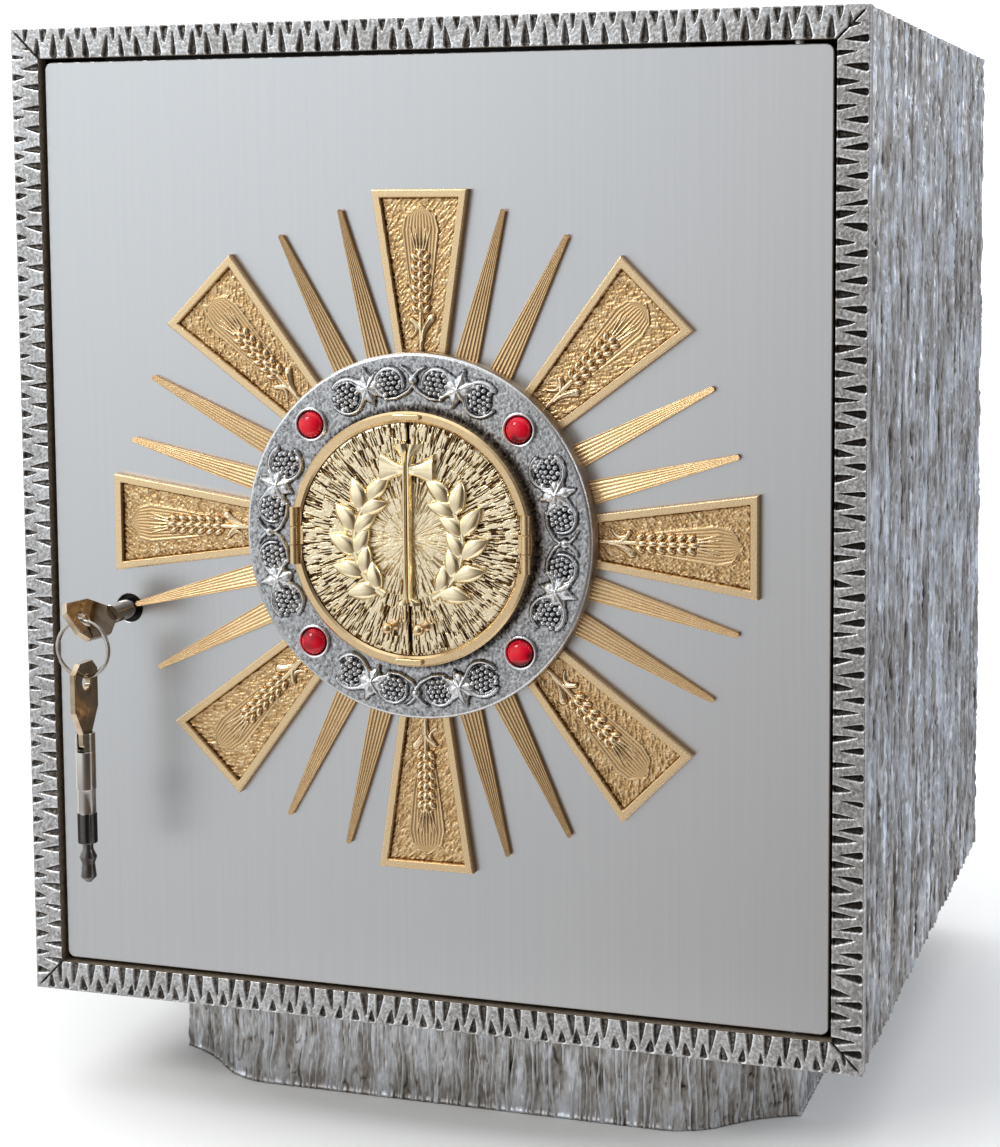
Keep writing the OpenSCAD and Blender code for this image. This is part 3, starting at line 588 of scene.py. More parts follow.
def dome(field, cx, cy, rx, ry, angle, base, top):
    """Raises an oval dome from base to top in a field (X, Y, heights, tones)."""
    X, Y = field[:2]
    c, s = math.cos(angle), math.sin(angle)
    box = (np.abs(X - cx) < max(rx, ry)) & (np.abs(Y - cy) < max(rx, ry))
    dx, dy = X[box] - cx, Y[box] - cy
    q = ((dx * c + dy * s) / rx) ** 2 + ((dy * c - dx * s) / ry) ** 2
    lift(field, box, np.sqrt(np.clip(1 - q, 0, 1)), base, top)


def lift(field, box, rise, base, top):
    """Raises the points of a box to a rise between 0 and 1 where that is higher than the field is."""
    H, T = field[2:]
    new = base + (top - base) * rise
    over = (rise > 0) & (new > H[box])
    H[box] = np.where(over, new, H[box])
    T[box] = np.where(over, 0.22 + 0.78 * np.sqrt(rise), T[box])


def stroke(field, pts, w0, w1, base, top, end=None):
    """Raises a round ridge along a line; it tapers from half-width w0 to w1 and sinks from top to end."""
    X, Y = field[:2]
    pts = np.asarray(pts, float)
    end = top if end is None else end
    wide = max(w0, w1)
    for k in range(len(pts) - 1):
        p, q = pts[k], pts[k + 1]
        lo, hi = np.minimum(p, q) - wide, np.maximum(p, q) + wide
        box = (X > lo[0]) & (X < hi[0]) & (Y > lo[1]) & (Y < hi[1])
        d = q - p
        t = np.clip(((X[box] - p[0]) * d[0] + (Y[box] - p[1]) * d[1]) / max(d @ d, 1e-9), 0, 1)
        f = (k + t) / (len(pts) - 1)
        away = np.hypot(X[box] - p[0] - t * d[0], Y[box] - p[1] - t * d[1]) / (w0 + (w1 - w0) * f)
        lift(field, box, np.sqrt(np.clip(1 - away ** 2, 0, 1)), base, top + (end - top) * f)


def bend(p, q, sag, n=8):
    """Points along a curve from p to q that bows sideways."""
    p, q = np.array(p, float), np.array(q, float)
    t = np.linspace(0, 1, n)[:, None]
    side = np.array([-(q - p)[1], (q - p)[0]])
    return p + (q - p) * t + side * sag * 4 * t * (1 - t)


def beside(raised, *shifts):
    """The points of the ground that lie next to raised ones."""
    close = np.zeros_like(raised)
    for axis in (0, 1):
        for shift in shifts:
            close |= np.roll(raised, shift, axis)
    return close & ~raised


def wheat_ray(k):
    """A framed ray with an ear of wheat on a hatched ground."""
    n, m = 230, 132
    s, t = np.meshgrid(np.linspace(0, 1, n), np.linspace(-1, 1, m), indexing="ij")
    side = math.tan(RAY_ANGLE)
    foot = HUB / np.sqrt(1 + (t * side) ** 2)
    X = foot * (1 - s) + RAY_END * s
    Y = t * side * X
    half = side * X
    edge = np.minimum((half - np.abs(Y)) * math.cos(RAY_ANGLE), RAY_END - X)
    seed = 900 + 17 * k
    hatch = noise((X + 1.1 * Y) / 0.75, (Y - 0.5 * X) / 1.9, seed) * 0.6
    hatch = hatch + noise(X / 0.5, Y / 0.5, seed + 1) * 0.4
    u = X - HUB
    fan = np.interp(u, [13, 18, 30, 44, 49, 53.5], [0.5, 3.6, 5.4, 7.2, 6.0, 0.0])
    ragged = 0.5 * noise(Y / 1.1, u * 0, seed + 2) * step(40, 50, u)
    inside = (np.abs(Y) < fan + ragged) & (u > 12.5) & (u < 53.2)
    ribs = 0.5 + 0.5 * np.cos(2 * np.pi * (Y / np.maximum(fan, 0.5)) * 5.5)
    lip = np.exp(-((fan - np.abs(Y)) / 0.45) ** 2)
    ground = np.where(inside, 2.12 + 0.16 * ribs + 0.2 * lip, 1.75 + 0.30 * hatch)
    tone = np.where(inside, 0.62 + 0.40 * (ribs - 0.5) + 0.22 * lip, 0.62 + 0.36 * hatch)
    field = (X, Y, ground.copy(), tone.copy())
    for stem in (([(67.8, 0), (74, 0.15), (81, 0)], 0.8, 1.0, 1.9, 3.1),
                 (bend((69, 0.3), (78.6, 3.7), -0.22), 0.7, 1.05, 1.9, 3.1),
                 (bend((78.6, 3.7), (72.2, 4.3), 0.35), 1.05, 0.5, 1.9, 3.0, 2.4),
                 (bend((69.2, -0.3), (79.4, -4.0), 0.1), 0.5, 1.7, 1.8, 2.8),
                 (bend((71, -0.7), (78.8, -3.3), 0.1), 0.3, 0.6, 2.2, 3.2)):
        stroke(field, *stem)
    for i in range(6):
        x0 = 82.2 + 3.75 * i
        for sgn in (-1, 1):
            dome(field, x0 + 0.4, sgn * 2.3, 2.1, 1.2, sgn * 0.62, 2.0, 3.75)
            stroke(field, [(x0 - 0.6, sgn * 1.1), (x0 + 1.2, sgn * 3.3)], 0.3, 0.2, 2.0, 2.7)
        dome(field, x0 + 1.3, 0, 2.1, 1.3, 0.0, 2.1, 4.0)
    for yy in (-2.6, -1.4, 0, 1.4, 2.6):
        stroke(field, [(104.0, yy * 0.7), (113, yy * 1.6)], 0.45, 0.15, 2.1, 2.8, 2.3)
    close = beside(field[2] > ground + 0.02, -1, 1)
    framed = edge < 2.95
    H = np.where(framed, 3.55 - 0.35 * (1 - np.clip(edge / 0.35, 0, 1)) ** 2, field[2])
    tone = np.where(close, field[3] - 0.34, field[3])
    tone = np.where(framed, 0.80, tone) - 0.62 * np.exp(-((edge - 3.15) / 0.3) ** 2) * (X - foot > 1.2)
    place = turned(rad(45 * (k - 1)))
    return relief("wheat_ray_relief_%d" % k, [(place(X, Y, H), backs(place, X, Y, 0.0), np.clip(tone, 0, 1))],
                  GOLD, "door", ["wheat_ray_%d" % k])


for k in range(1, 9):
    wheat_ray(k)


def slim_rays():
    """Sixteen tapering rays with ridges along them."""
    parts = []
    n, m = 60, 41
    for i, angle in enumerate(q + a for q in (0, 90, 180, 270) for a in (15, 27, 63, 75)):
        s, t = np.meshgrid(np.linspace(0, 1, n), np.linspace(-1, 1, m), indexing="ij")
        half = 4.4 - 3.4 * s
        foot = np.sqrt(HUB ** 2 - (t * half) ** 2)
        X = foot * (1 - s) + 122.0 * s + np.sqrt(np.clip(1 - (t * 0.98) ** 2, 0, 1)) * step(0.93, 1.0, s)
        ridges = 0.5 + 0.5 * np.cos(2 * np.pi * t * 3.0)
        H = 2.05 + 0.33 * ridges * np.clip(half / 3.0, 0.3, 1) - 0.25 * step(0.9, 1.0, np.abs(t))
        tone = 0.50 + 0.38 * ridges + 0.06 * noise(X / 3, t * half / 0.5, 40 + i)
        tone = tone - 0.25 * step(0.93, 1.0, np.abs(t))
        place = turned(rad(angle))
        parts.append((place(X, t * half, H), backs(place, X, t * half, 0.0), tone))
    return relief("ribbed_slim_rays", parts, GOLD, "door", ["slim_rays"], 50)


slim_rays()


# ---------- medallion ----------

def medallion():
    """The silver ring with four vine garlands in relief, and its polished outer edge, whose brown and beige
    patches are painted reflections.
    """
    turns, inner, mid, low = 1290, 46.55, 56.8, 10.2
    r = np.concatenate([np.linspace(inner, 66.0, 70), [66.4, 66.8, 67.05, 67.2]])
    R, A = np.meshgrid(r, np.arange(turns) * 2 * np.pi / turns, indexing="ij")
    X, Y = R * np.cos(A), R * np.sin(A)
    pebble = 0.5 * noise(X / 0.7, Y / 0.9, 71) + 0.5 * noise(X / 0.4, Y / 0.4, 72)
    ground = 10.28 + 0.10 * pebble
    field = (X, Y, ground.copy(), 0.54 + 0.34 * pebble)
    rng = np.random.default_rng(77)
    for quarter in range(4):
        base = quarter * math.pi / 2

        def at(deg, dr):
            a = base + rad(deg)
            return ((mid + dr) * math.cos(a), (mid + dr) * math.sin(a))

        def near(deg, points):
            """Points given in millimetres along and across the ring from an angle."""
            return [at(deg + math.degrees(a / mid), b) for a, b in points]

        for sgn in (-1, 1):
            vine = ((0, -1.0), (1.6, -3.2), (3.4, -4.2), (7, -5.6), (12, -5.4))
            stroke(field, near(0, [(sgn * a, b) for a, b in vine]), 0.7, 0.55, 10.3, 12.0)
            stroke(field, near(0, [(0, 1.6), (sgn * 2.2, 4.2), (sgn * 4.0, 5.4)]), 0.7, 0.4, 10.3, 12.2)
            for deg, size, first, sweep in ((9.2, 5.3, -60, 270), (26.8, 6.3, 60, 300)):
                w = np.radians(np.arange(first, first + sweep, 10))
                for q, w0, w1, top in ((size, 0.85, 0.6, 12.1), (size - 1.1, 0.35, 0.25, 11.5)):
                    loop = [(sgn * q * math.cos(t), q * math.sin(t)) for t in w]
                    stroke(field, near(sgn * deg, loop), w0, w1, 10.3, top)
                for row in range(-2, 3):
                    for col in range(-2, 3):
                        gx = (col + 0.5 * (row % 2)) * 1.95 + rng.uniform(-0.2, 0.2)
                        gy = row * 1.72 + rng.uniform(-0.15, 0.15)
                        if math.hypot(gx, gy) < size - 1.1:
                            px, py = near(sgn * deg, [(gx, gy)])[0]
                            dome(field, px, py, 1.0, 1.0, 0, 10.7, 13.45 - 0.07 * (gx * gx + gy * gy))
            for dx, dy, rx, ry, tilt in ((0, 3.0, 2.2, 2.7, 0), (-2.6, 0.4, 2.6, 1.9, 20),
                                         (2.6, 0.6, 2.6, 1.9, -20), (0.3, -2.8, 2.1, 2.6, 0)):
                px, py = near(sgn * 17.8, [(dx, dy)])[0]
                dome(field, px, py, rx, ry, base + rad(sgn * 17.8 + 90 + tilt), 11.0, 12.5)
            for lobe, reach, wide in ((92, 7.2, 2.4), (48, 6.4, 2.0), (136, 6.2, 2.0), (-95, 6.4, 2.2),
                                      (-46, 5.8, 1.9), (-140, 5.6, 1.9), (5, 4.8, 1.7), (178, 4.4, 1.6)):
                w = rad(lobe + rng.uniform(-6, 6))
                tip = (sgn * reach * math.cos(w), reach * math.sin(w))
                stroke(field, near(sgn * 17.8, [(0, 0), (tip[0] * 0.6, tip[1] * 0.6), tip]), wide * 1.1, 0.5,
                       10.8, 12.7, 11.8)
                stroke(field, near(sgn * 17.8, [(0, 0), tip]), 0.35, 0.2, 11.2, 13.2, 12.2)
        dome(field, *at(0, 0.6), 1.8, 1.8, 0, 11.0, 13.2)
    relief_h = field[2]
    raised = relief_h > ground + 0.02
    relief_h[-4:] = np.array([low, 9.95, 9.7, 9.3])[:, None]
    relief_h[:2] = low
    tone = np.where(beside(raised, -2, -1, 1, 2), field[3] - 0.34, field[3])
    tone = np.where(raised, 0.10 + 0.74 * (tone - 0.22) / 0.78 + 0.10 * pebble, tone)
    tone[-4:] = 0.82
    # Painted shade: the ground darkens towards the inner edge, next to the window rim.
    tone = tone - 0.4 * step(49.5, 47.0, R)

    def ring(radius, h):
        return np.stack(on_star(radius * np.cos(A[0]), radius * np.sin(A[0]), np.full(turns, h)), -1)

    front = np.stack(on_star(X, Y, relief_h), -1).reshape(-1, 3)
    verts = np.concatenate([ring(inner, 0.0), front, ring(67.25, 9.25), ring(67.25, 0.0)])
    total = len(r) + 3
    now, after = np.arange(turns), (np.arange(turns) + 1) % turns
    rear = np.stack([now, after, (total - 1) * turns + after, (total - 1) * turns + now], -1)
    quads = np.concatenate([grid_quads(total, turns, True), rear])
    tones = np.concatenate([np.full(turns, 0.4), np.clip(tone, 0, 1).ravel(), np.full(2 * turns, 0.9)])
    obj = orient(build("medallion_relief", verts, quads, [], MEDAL, "door",
                       ["medallion", "vine_garlands"], tones))
    obj.data.materials.append(EDGE_PAINTED_REFLECTION)
    centre = np.array([p.center for p in obj.data.polygons])
    away = np.hypot(centre[:, 0] / MM - CX, centre[:, 2] / MM - CZ)
    obj.data.polygons.foreach_set("material_index", (away > 67.22).astype(np.int32))
    sharpen(obj, 70)


medallion()

STONE_R = 4.7
bezel = [(STONE_R, 9.6), (6.25, 9.6), (6.25, 11.3), (6.1, 11.75), (5.8, 11.9), (5.45, 11.8), (5.15, 11.4),
         (5.0, 10.9), (STONE_R, 10.8)]
cabochon = [(0.05, 10.1), (STONE_R, 10.1), (STONE_R, 11.3)]
cabochon += [(STONE_R * math.cos(w), 11.3 + 3.0 * math.sin(w)) for w in np.linspace(0.1, 1.5, 14)]
cabochon += [(0.05, 14.3)]
for i, a in enumerate((45, 135, 225, 315)):
    sx, sz = 57 * math.cos(rad(a)), 57 * math.sin(rad(a))
    place = lambda x, y, h: on_star(sx + x, sz + y, h)
    # Painted shade: the bezel is black below 11 mm, in the gap round the stone, and darkens down its outer wall
    # as a painted contact shadow.
    lathe("stone_bezel_%d" % (i + 1), bezel, place, 64, MEDAL, "door", [],
          shade=lambda h, a: np.where(h < 11.0, 0.05, 0.92) + 0 * a)
    lathe("red_stone_%d" % (i + 1), cabochon, place, 64, STONE, "door", ["stones"] if i == 0 else [])


# ---------- window leaves ----------

def leaf(s, body, side, seed):
    """One half of the window's cover, chased with strokes that run out from its centre, and its knuckle."""
    n, m = 140, 690
    rr, th = np.meshgrid(np.linspace(0.4, 42.3, n), np.linspace(-np.pi / 2, np.pi / 2, m), indexing="ij")
    x, z = 0.15 + rr * np.cos(th) * (42.15 / 42.3), rr * np.sin(th)
    ripple = 1.4 * noise(x / 3.1, z / 3.1, seed + 9)
    band = np.floor((rr + ripple) / 5.2)
    mid = (band + 0.65) * 5.2
    q = th * mid / 0.34 + band * 37.7
    n1 = noise(q, rr / 5.0 + band * 9.1, seed) + 0.25 * noise(q * 1.7, rr / 1.7, seed + 1)
    cuts = step(0.08, 0.50, n1)
    fine = noise(x / 0.5, z / 0.5, seed + 2)
    outward = step(7, 26, rr)
    h = 16.62 - (0.16 + 0.38 * outward) * cuts - 0.03 * (1 - fine)
    h = np.where(rr > 41.9, h - 0.25, h)
    h = h - 0.8 * step(0.75, 0.2, x)
    # Painted shade: the tone falls to black within 0.85 mm of the split between the leaves.
    tone = np.clip(0.86 + 0.10 * fine - (0.34 + 0.50 * outward) * cuts, 0, 1) * step(0.15, 0.85, x)
    verts = np.stack(on_star(s * x, z, h), -1).reshape(-1, 3)
    rear = np.stack(on_star(s * x[-1], z[-1], np.full(m, 14.5)), -1)
    base, edge = n * m, np.arange((n - 1) * m, n * m)
    rim = np.stack([edge[:-1], edge[1:], base + np.arange(1, m), base + np.arange(m - 1)], -1)
    seam = [base] + [k * m for k in range(n)][::-1] + [k * m + m - 1 for k in range(n)] + [base + m - 1]
    polys = [seam, [base + k for k in range(m)], list(range(m))]
    sharpen(orient(build("chased_leaf_" + side, np.concatenate([verts, rear]),
                         np.concatenate([grid_quads(n, m), rim]), polys, PALE, body,
                         ["leaf_" + side], np.concatenate([tone.ravel(), np.full(m, 0.3)]))), 60)
    barrel = lambda a, b, c: on_star(s * 44.8 + a, c, 17.5 + b)
    profile = [(0.85, -3.4), (1.35, -3.4), (1.6, -3.15), (1.6, 3.15), (1.35, 3.4), (0.85, 3.4)]
    lathe("leaf_knuckle_" + side, profile, barrel, 40, RIM_GOLD, body, [])
    plate("leaf_strap_" + side, [[(s * 41.6, -3.3), (s * 44.6, -3.3), (s * 44.6, 3.3), (s * 41.6, 3.3)]],
          lambda u, v, h: on_star(u, v, 15.95 + h), 0.75, 0.12, RIM_GOLD, body, [])


ACROSS = np.array([-1, -0.93, -0.62, -0.5, -0.03, 0.03, 0.5, 0.62, 0.93, 1])
RISE = np.array([0, 0.35, 0.88, 1, 0.93, 0.93, 1, 0.88, 0.35, 0])


def ridge(place, centre, direction, half, top, edge, low=16.55):
    """A raised strip with bevelled sides: a centre, sideways direction, half-width and heights at each step."""
    mid, side = np.asarray(centre, float)[:, None, :], np.asarray(direction, float)[:, None, :]
    P = mid + side * np.asarray(half, float)[:, None, None] * ACROSS[None, :, None]
    H = np.asarray(edge)[:, None] + (np.asarray(top) - np.asarray(edge))[:, None] * RISE[None, :]
    X, Y = P[..., 0], P[..., 1]
    return place(X, Y, H), backs(place, X, Y, low), 0.5 + 0.5 * RISE[None, :] + 0 * H


def ornament(s, body, side):
    """Half a flared cross and a laurel branch, cut with ridges along their middles."""
    place = turned(0.0, s)
    parts = []
    z = np.array([-23.7, -22.6, -21.0, -8, 8, 23.4, 27.6, 30.5, 33, 35.0])
    w = np.array([4.5, 4.4, 1.75, 1.7, 1.7, 1.75, 1.75, 2.5, 4.1, 5.8])
    a = np.linspace(0, 1, 8)
    Z, A = np.meshgrid(z, a, indexing="ij")
    X = 0.15 + A * (w[:, None] - 0.15)
    H = 19.6 - 1.4 * step(0.55, 1, A) - 1.2 * step(0.32, 0.0, A)
    parts.append((place(X, Z, H), backs(place, X, Z, 16.55), 0.97 - 0.3 * A))
    x = np.linspace(1.2, 10.2, 8)
    up = np.interp(x, [1.2, 1.7, 4.6, 10.2], [2.0, 2.1, 2.9, 5.8])
    parts.append(ridge(place, np.stack([x, 25.5 + 0 * x], -1), np.tile([0.0, 1.0], (8, 1)), up,
                       np.full(8, 19.4), np.full(8, 17.7)))
    t = np.linspace(-62, 43, 24)
    dirs = np.stack([np.cos(np.radians(t)), np.sin(np.radians(t))], -1)
    parts.append(ridge(place, [-1, -1] + 22 * dirs, dirs, np.interp(t, [-62, 43], [1.5, 0.8]),
                       np.full(24, 18.6), np.full(24, 17.5)))
    k = np.linspace(0, 1, 13)
    for i in range(6):
        turn = rad(-56 + 21 * i) if i < 5 else rad(41)
        for swing, long, wide in ((50, 13, 3.4), (132, 11.5, 3.1)) if i < 5 else ((92, 12.5, 3.3),):
            d = turn + rad(swing)
            axis = np.array([math.cos(d), math.sin(d)])
            foot = np.array([-1, -1]) + 22 * np.array([math.cos(turn), math.sin(turn)])
            curl = 0.06 * long * np.sin(np.pi * k) * (1 if swing < 90 else -1)
            cross = np.array([-axis[1], axis[0]])
            centre = foot + axis * (k * long)[:, None] + cross * curl[:, None]
            half = np.maximum(wide * (4 * k * (1 - k)) ** 0.8 * (1.15 - 0.3 * k), 0.06)
            rise = np.sin(np.pi * np.clip(k, 0.02, 0.98)) ** 0.5
            parts.append(ridge(place, centre, np.tile(cross, (13, 1)), half, 17.4 + 2.2 * rise,
                               17.2 + 0.9 * rise))
    return relief("laurel_and_cross_" + side, parts, ORNAMENT, body, ["ornament_" + side], 40)


knob = [(0.05, 16.4), (1.8, 16.4), (1.8, 17.0), (1.5, 17.3), (0.85, 17.8), (0.75, 21.3)]
knob += [(2.1 * math.sin(t), 23.5 - 2.1 * math.cos(t)) for t in np.linspace(0.365, 3.12, 22)]
for s, side in ((-1, "left"), (1, "right")):
    body = side + "_leaf"
    leaf(s, body, side, 32 + s)
    ornament(s, body, side)
    lathe("turned_knob_" + side, knob, lambda x, y, h: on_star(s * 6 + x, y - 31.5, h), 48, RIM_GOLD, body,
          ["knob_" + side])


def arc(cx, cy, r, degrees):
    return [(cx + r * math.cos(w), cy + r * math.sin(w)) for w in np.radians(degrees)]


def circle(cx, cy, r, n=96):
    return [(cx + r * math.cos(2 * math.pi * k / n), cy + r * math.sin(2 * math.pi * k / n)) for k in range(n)]


for y, side in ((44.5, "upper"), (-44.5, "lower")):
    tab = arc(4.4, y, 1.1, np.arange(-90, 91, 20)) + arc(-4.4, y, 1.1, np.arange(90, 271, 20))
    plate("rim_tab_" + side, [tab], lambda u, v, h: on_star(u, v, 17.4 + h), 1.5, 0.4, RIM_GOLD, "door",
          [])


# ---------- door plate ----------

KEY_X, KEY_Z = -121.5, 196.3
corners = []
for cx, cz, start in ((149.2, 401.7, 0), (-149.2, 401.7, 90), (-149.2, 58.3, 180), (149.2, 58.3, 270)):
    corners += arc(cx, cz, 3, start + np.arange(0, 91, 10))
plate("bevelled_door_plate", [corners, circle(CX, CZ, 44.0), circle(KEY_X, KEY_Z, 5.5, 48)],
      lambda u, v, h: (u, -150.0 - h, v), 2.5, 0.35, SATIN, "door", ["door_plate"])


# ---------- keys ----------

BOW_HOLE, RING_R = 22.5, 10.45


def key_bow(name, rivet, along, across, body, node):
    """A flat six-sided bow with bevelled edges: along runs from the rivet to its end, across its thickness."""
    wide = np.cross(along, across)
    half = [(4.5, 30), (8.2, 26.5), (8.2, 12), (3.3, 3)]
    foot = arc(0, 0, -3.3, np.arange(0, 181, 15))
    outline = half + [(-x, y) for x, y in foot + half[::-1]]
    place = lambda u, v, h: tuple(rivet + u * wide + v * along + (h - 1.3) * across)
    plate(name, [outline, circle(0, BOW_HOLE, 3.0, 40), circle(0, 0, 1.1, 24)], place, 2.6, 0.42, NICKEL_PAINTED_WARM_REFLECTION, body,
          [node])


roll, rise = rad(40), rad(3)
rolled = np.array([-math.sin(roll), 0, math.cos(roll)])
flat = np.array([math.cos(roll), 0, math.sin(roll)])
outward, right, upright = np.array([0.0, -1, 0]), np.array([1.0, 0, 0]), np.array([0.0, 0, 1])
front = outward * math.cos(rise) + rolled * math.sin(rise)
lock = np.array([KEY_X, -164.5, KEY_Z])
key_bow("lock_key_bow", lock, front, flat, "bow", "key_bow")
ring_mid = lock + front * BOW_HOLE - np.array([0, 0, 0.1 + RING_R])
spare = np.array([ring_mid[0], ring_mid[1], ring_mid[2] - RING_R - 1.8 - BOW_HOLE])
key_bow("spare_key_bow", spare, upright, right, "spare", "spare_bow")


def key_stem(name, rivet, up, flat, body, node):
    """A round stem with a forked top, a fluted waist and a turned point; flat runs across the fork."""
    third = np.cross(up, flat)
    place = lambda x, y, h: tuple(rivet + x * flat + y * third + h * up)
    waist = -27.2
    profile = [(0.05, -53.6), (1.15, -53.5), (1.5, -53.0), (2.9, -51.7), (3.0, -51.3), (2.5, -46.8),
               (2.45, -46.4), (3.25, -44.2), (3.28, -43.8), (2.1, -41.2), (2.0, -40.8), (2.0, -38.7),
               (3.5, -38.5), (3.68, -38.2), (3.68, -36), (3.68, -33), (3.68, -30), (3.68, -27.3), (3.45, -27.0),
               (3.45, -18.3), (3.66, -18.0), (3.7, -17.7), (3.7, -4.1), (3.6, -3.8), (0.05, -3.8)]

    def flute(h, a):
        return -0.6 * np.clip(np.cos(6 * a) * 1.6, 0, 1) * ((h > -38.3) & (h < waist))

    # The stem's tone: bright above the waist, darker below it and darkest in the grooves of the flutes.
    def stem_tone(h, a):
        fluted = np.where(h > -38.4, 0.34 - 0.25 * (np.cos(6 * a) > 0), 0.5)
        return np.where(h > waist, 0.95, fluted)

    lathe(name, profile, place, 72, STEM_NICKEL, body, [node], flute, stem_tone)
    for k, sgn in enumerate((-1, 1)):
        cheek = [(sgn * x, y) for x, y in arc(0, 0, 3.7, np.linspace(-67.5, 67.5, 19))]
        plate("%s_cheek_%d" % (name, k + 1), [cheek], lambda u, v, h: place(u, v, h - 3.9), 7.3, 0.25, NICKEL,
              body, [])


key_stem("lock_key_stem", lock, outward, flat, "lock_key", "key_stem")
key_stem("spare_key_stem", spare, upright, right, "spare", "spare_stem")


def split_ring():
    """Two coils of wire side by side that cross over once."""
    n, m = 400, 14
    t, a = np.meshgrid(np.linspace(0.0, 1.98, n), np.arange(m) * 2 * np.pi / m, indexing="ij")
    turn = 2 * np.pi * t + rad(205)
    shift = -0.36 + 0.72 * step(0.9, 1.08, t)
    r = RING_R + 0.72 * np.sign(np.cos(a)) * np.abs(np.cos(a)) ** 0.6
    x, y, z = ring_mid
    pts = np.stack([x + r * np.cos(turn), y + shift + 0.34 * np.sin(a), z + r * np.sin(turn)], -1)
    ends = [list(range(m)), list(range((n - 1) * m, n * m))]
    sharpen(orient(build("split_key_ring", pts.reshape(-1, 3), grid_quads(n, m, True), ends, NICKEL, "ring",
                         ["key_ring"])), 50)


split_ring()


# ---------- studio ----------

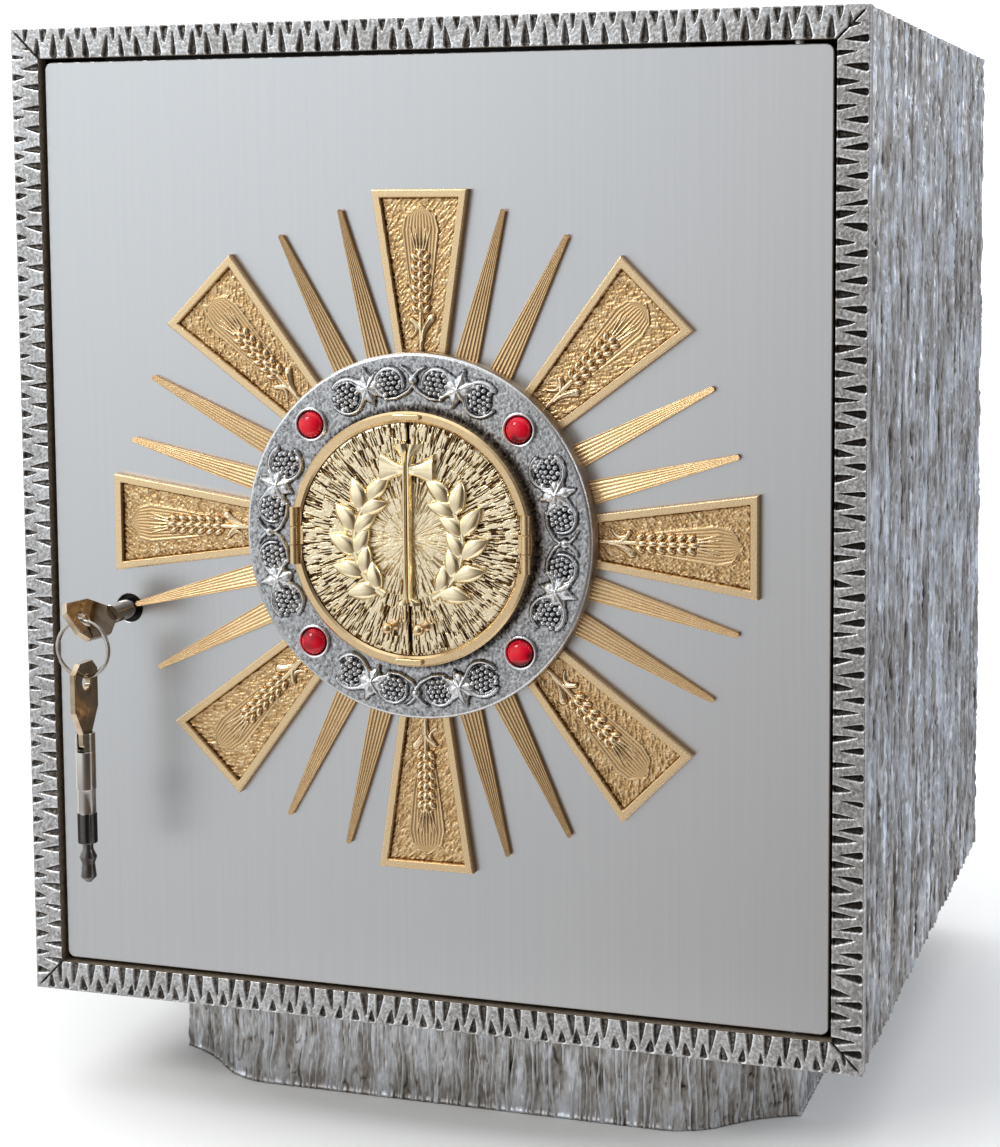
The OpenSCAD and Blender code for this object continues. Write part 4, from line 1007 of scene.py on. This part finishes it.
def studio():
    """A pale round floor that fades out, three soft lamps, and surroundings that run from pale to dark."""
    scene = bpy.context.scene
    floor = bpy.data.meshes.new("floor")
    ring, rows, reach, middle, under = 96, 8, 0.46, 0.11, -0.0002
    pts = [(0.0, middle, under)]
    for k in range(rows):
        pts += [(x, y, under) for x, y in circle(0, middle, reach * (k + 1) / rows, ring)]
    faces = [(0, 1 + j, 1 + (j + 1) % ring) for j in range(ring)]
    floor.from_pydata(pts, [], faces + grid_quads(rows, ring, True, 1)[:, ::-1].tolist())
    ground = add_object("floor", floor)
    material, tree, bsdf = shader("pale_floor")
    link(tree, ramp(tree, grain(tree, 3, 3, 0.5), [(0.3, (0.90, 0.90, 0.90)), (0.7, (0.93, 0.93, 0.925))]),
         bsdf.inputs["Base Color"])
    preset(bsdf, Roughness=0.9)
    spot = tree.nodes.new("ShaderNodeVectorMath")
    spot.operation = "DISTANCE"
    link(tree, tree.nodes.new("ShaderNodeTexCoord").outputs["Object"], spot.inputs[0])
    spot.inputs[1].default_value = (0.0, middle, 0.0)
    fade = grey(tree, spot.outputs["Value"], 1.0, 0.0)
    preset(fade.node, From_Min=0.25, From_Max=0.44)
    link(tree, fade, bsdf.inputs["Alpha"])
    floor.materials.append(material)

    def area(name, place, target, size, power, tint):
        data = bpy.data.lights.new(name, "AREA")
        data.shape, data.size, data.energy, data.color = "DISK", size, power, tint
        lamp = add_object(name, data)
        lamp.location = place
        lamp.rotation_euler = (Vector(target) - Vector(place)).to_track_quat("-Z", "Y").to_euler()

    area("key", (-1.0, -1.4, 1.35), (0, 0, 0.22), 0.6, 10, (1.0, 0.98, 0.95))
    area("top", (-0.2, 0.2, 1.7), (0, 0, 0.2), 2.4, 13, (0.96, 0.98, 1.0))
    area("side", (1.5, 0.2, 0.9), (0.1, 0, 0.2), 1.1, 8, (0.92, 0.96, 1.0))
    world = bpy.data.worlds.new("studio")
    scene.world = world
    world.use_nodes = True
    tree = world.node_tree
    place = tree.nodes.new("ShaderNodeTexCoord")
    split = tree.nodes.new("ShaderNodeSeparateXYZ")
    link(tree, place.outputs["Generated"], split.inputs["Vector"])

    def between(axis, lo, hi):
        out = grey(tree, split.outputs[axis], 0.0, 1.0)
        preset(out.node, From_Min=lo, From_Max=hi)
        return out

    def mixed(fac, a, b):
        mix = tree.nodes.new("ShaderNodeMix")
        mix.data_type = "RGBA"
        link(tree, fac, mix.inputs["Factor"])
        link(tree, a, mix.inputs["A"])
        mix.inputs["B"].default_value = (*b, 1)
        return mix.outputs["Result"]

    sides = ramp(tree, between("X", -0.6, 0.6),
                 [(0.0, (0.93, 0.98, 1.0)), (0.21, (0.84, 0.88, 0.93)), (0.4, (0.54, 0.53, 0.52)),
                  (0.62, (0.22, 0.20, 0.18)), (1.0, (0.08, 0.07, 0.06))])
    sides = mixed(math_node(tree, "MULTIPLY", between("Z", 0.05, -0.35), 0.5), sides, (0.17, 0.13, 0.10))
    rear = math_node(tree, "MULTIPLY", between("Y", -0.3, 0.1), between("X", 0.05, 0.25))
    sides = mixed(rear, sides, (0.64, 0.68, 0.75))
    behind = math_node(tree, "MULTIPLY", between("Y", 0.0, 0.3), between("X", 0.05, -0.10))
    colour = mixed(behind, mixed(between("Z", 0.45, 0.9), sides, (0.56, 0.57, 0.58)), (1.0, 1.0, 1.0))
    colour = mixed(between("Z", -0.70, -0.82), colour, (1.0, 1.0, 1.0))
    link(tree, colour, tree.nodes["Background"].inputs["Color"])
    tree.nodes["Background"].inputs["Strength"].default_value = 1.3
    scene.view_settings.view_transform = "Standard"


studio()


def camera():
    """The camera, with its focal length and its optical centre in points of a frame of 1000 by 1147."""
    wide, high, focal, centre_x, centre_y = 1000, 1147, 2241.7, 600.3, 419.4
    data = bpy.data.cameras.new("camera")
    data.sensor_width = 36.0
    data.lens = focal / high * 36.0
    data.shift_x = -(centre_x - wide / 2) / high
    data.shift_y = (centre_y - high / 2) / high
    data.clip_start = 0.01
    data.clip_end = 50
    cam = add_object("camera", data)
    bpy.context.scene.camera = cam
    yaw, pitch, roll = 0.29471, 0.09449, -0.00366
    forward = Vector((-math.sin(yaw) * math.cos(pitch), math.cos(yaw) * math.cos(pitch), -math.sin(pitch)))
    right = Vector((math.cos(yaw), math.sin(yaw), 0))
    up = right.cross(forward)
    rolled_right = math.cos(roll) * right + math.sin(roll) * up
    rolled_up = -math.sin(roll) * right + math.cos(roll) * up
    matrix = Matrix((rolled_right, rolled_up, -forward)).transposed().to_4x4()
    matrix.translation = Vector((0.30007, -0.91609, 0.34933))
    cam.matrix_world = matrix


camera()
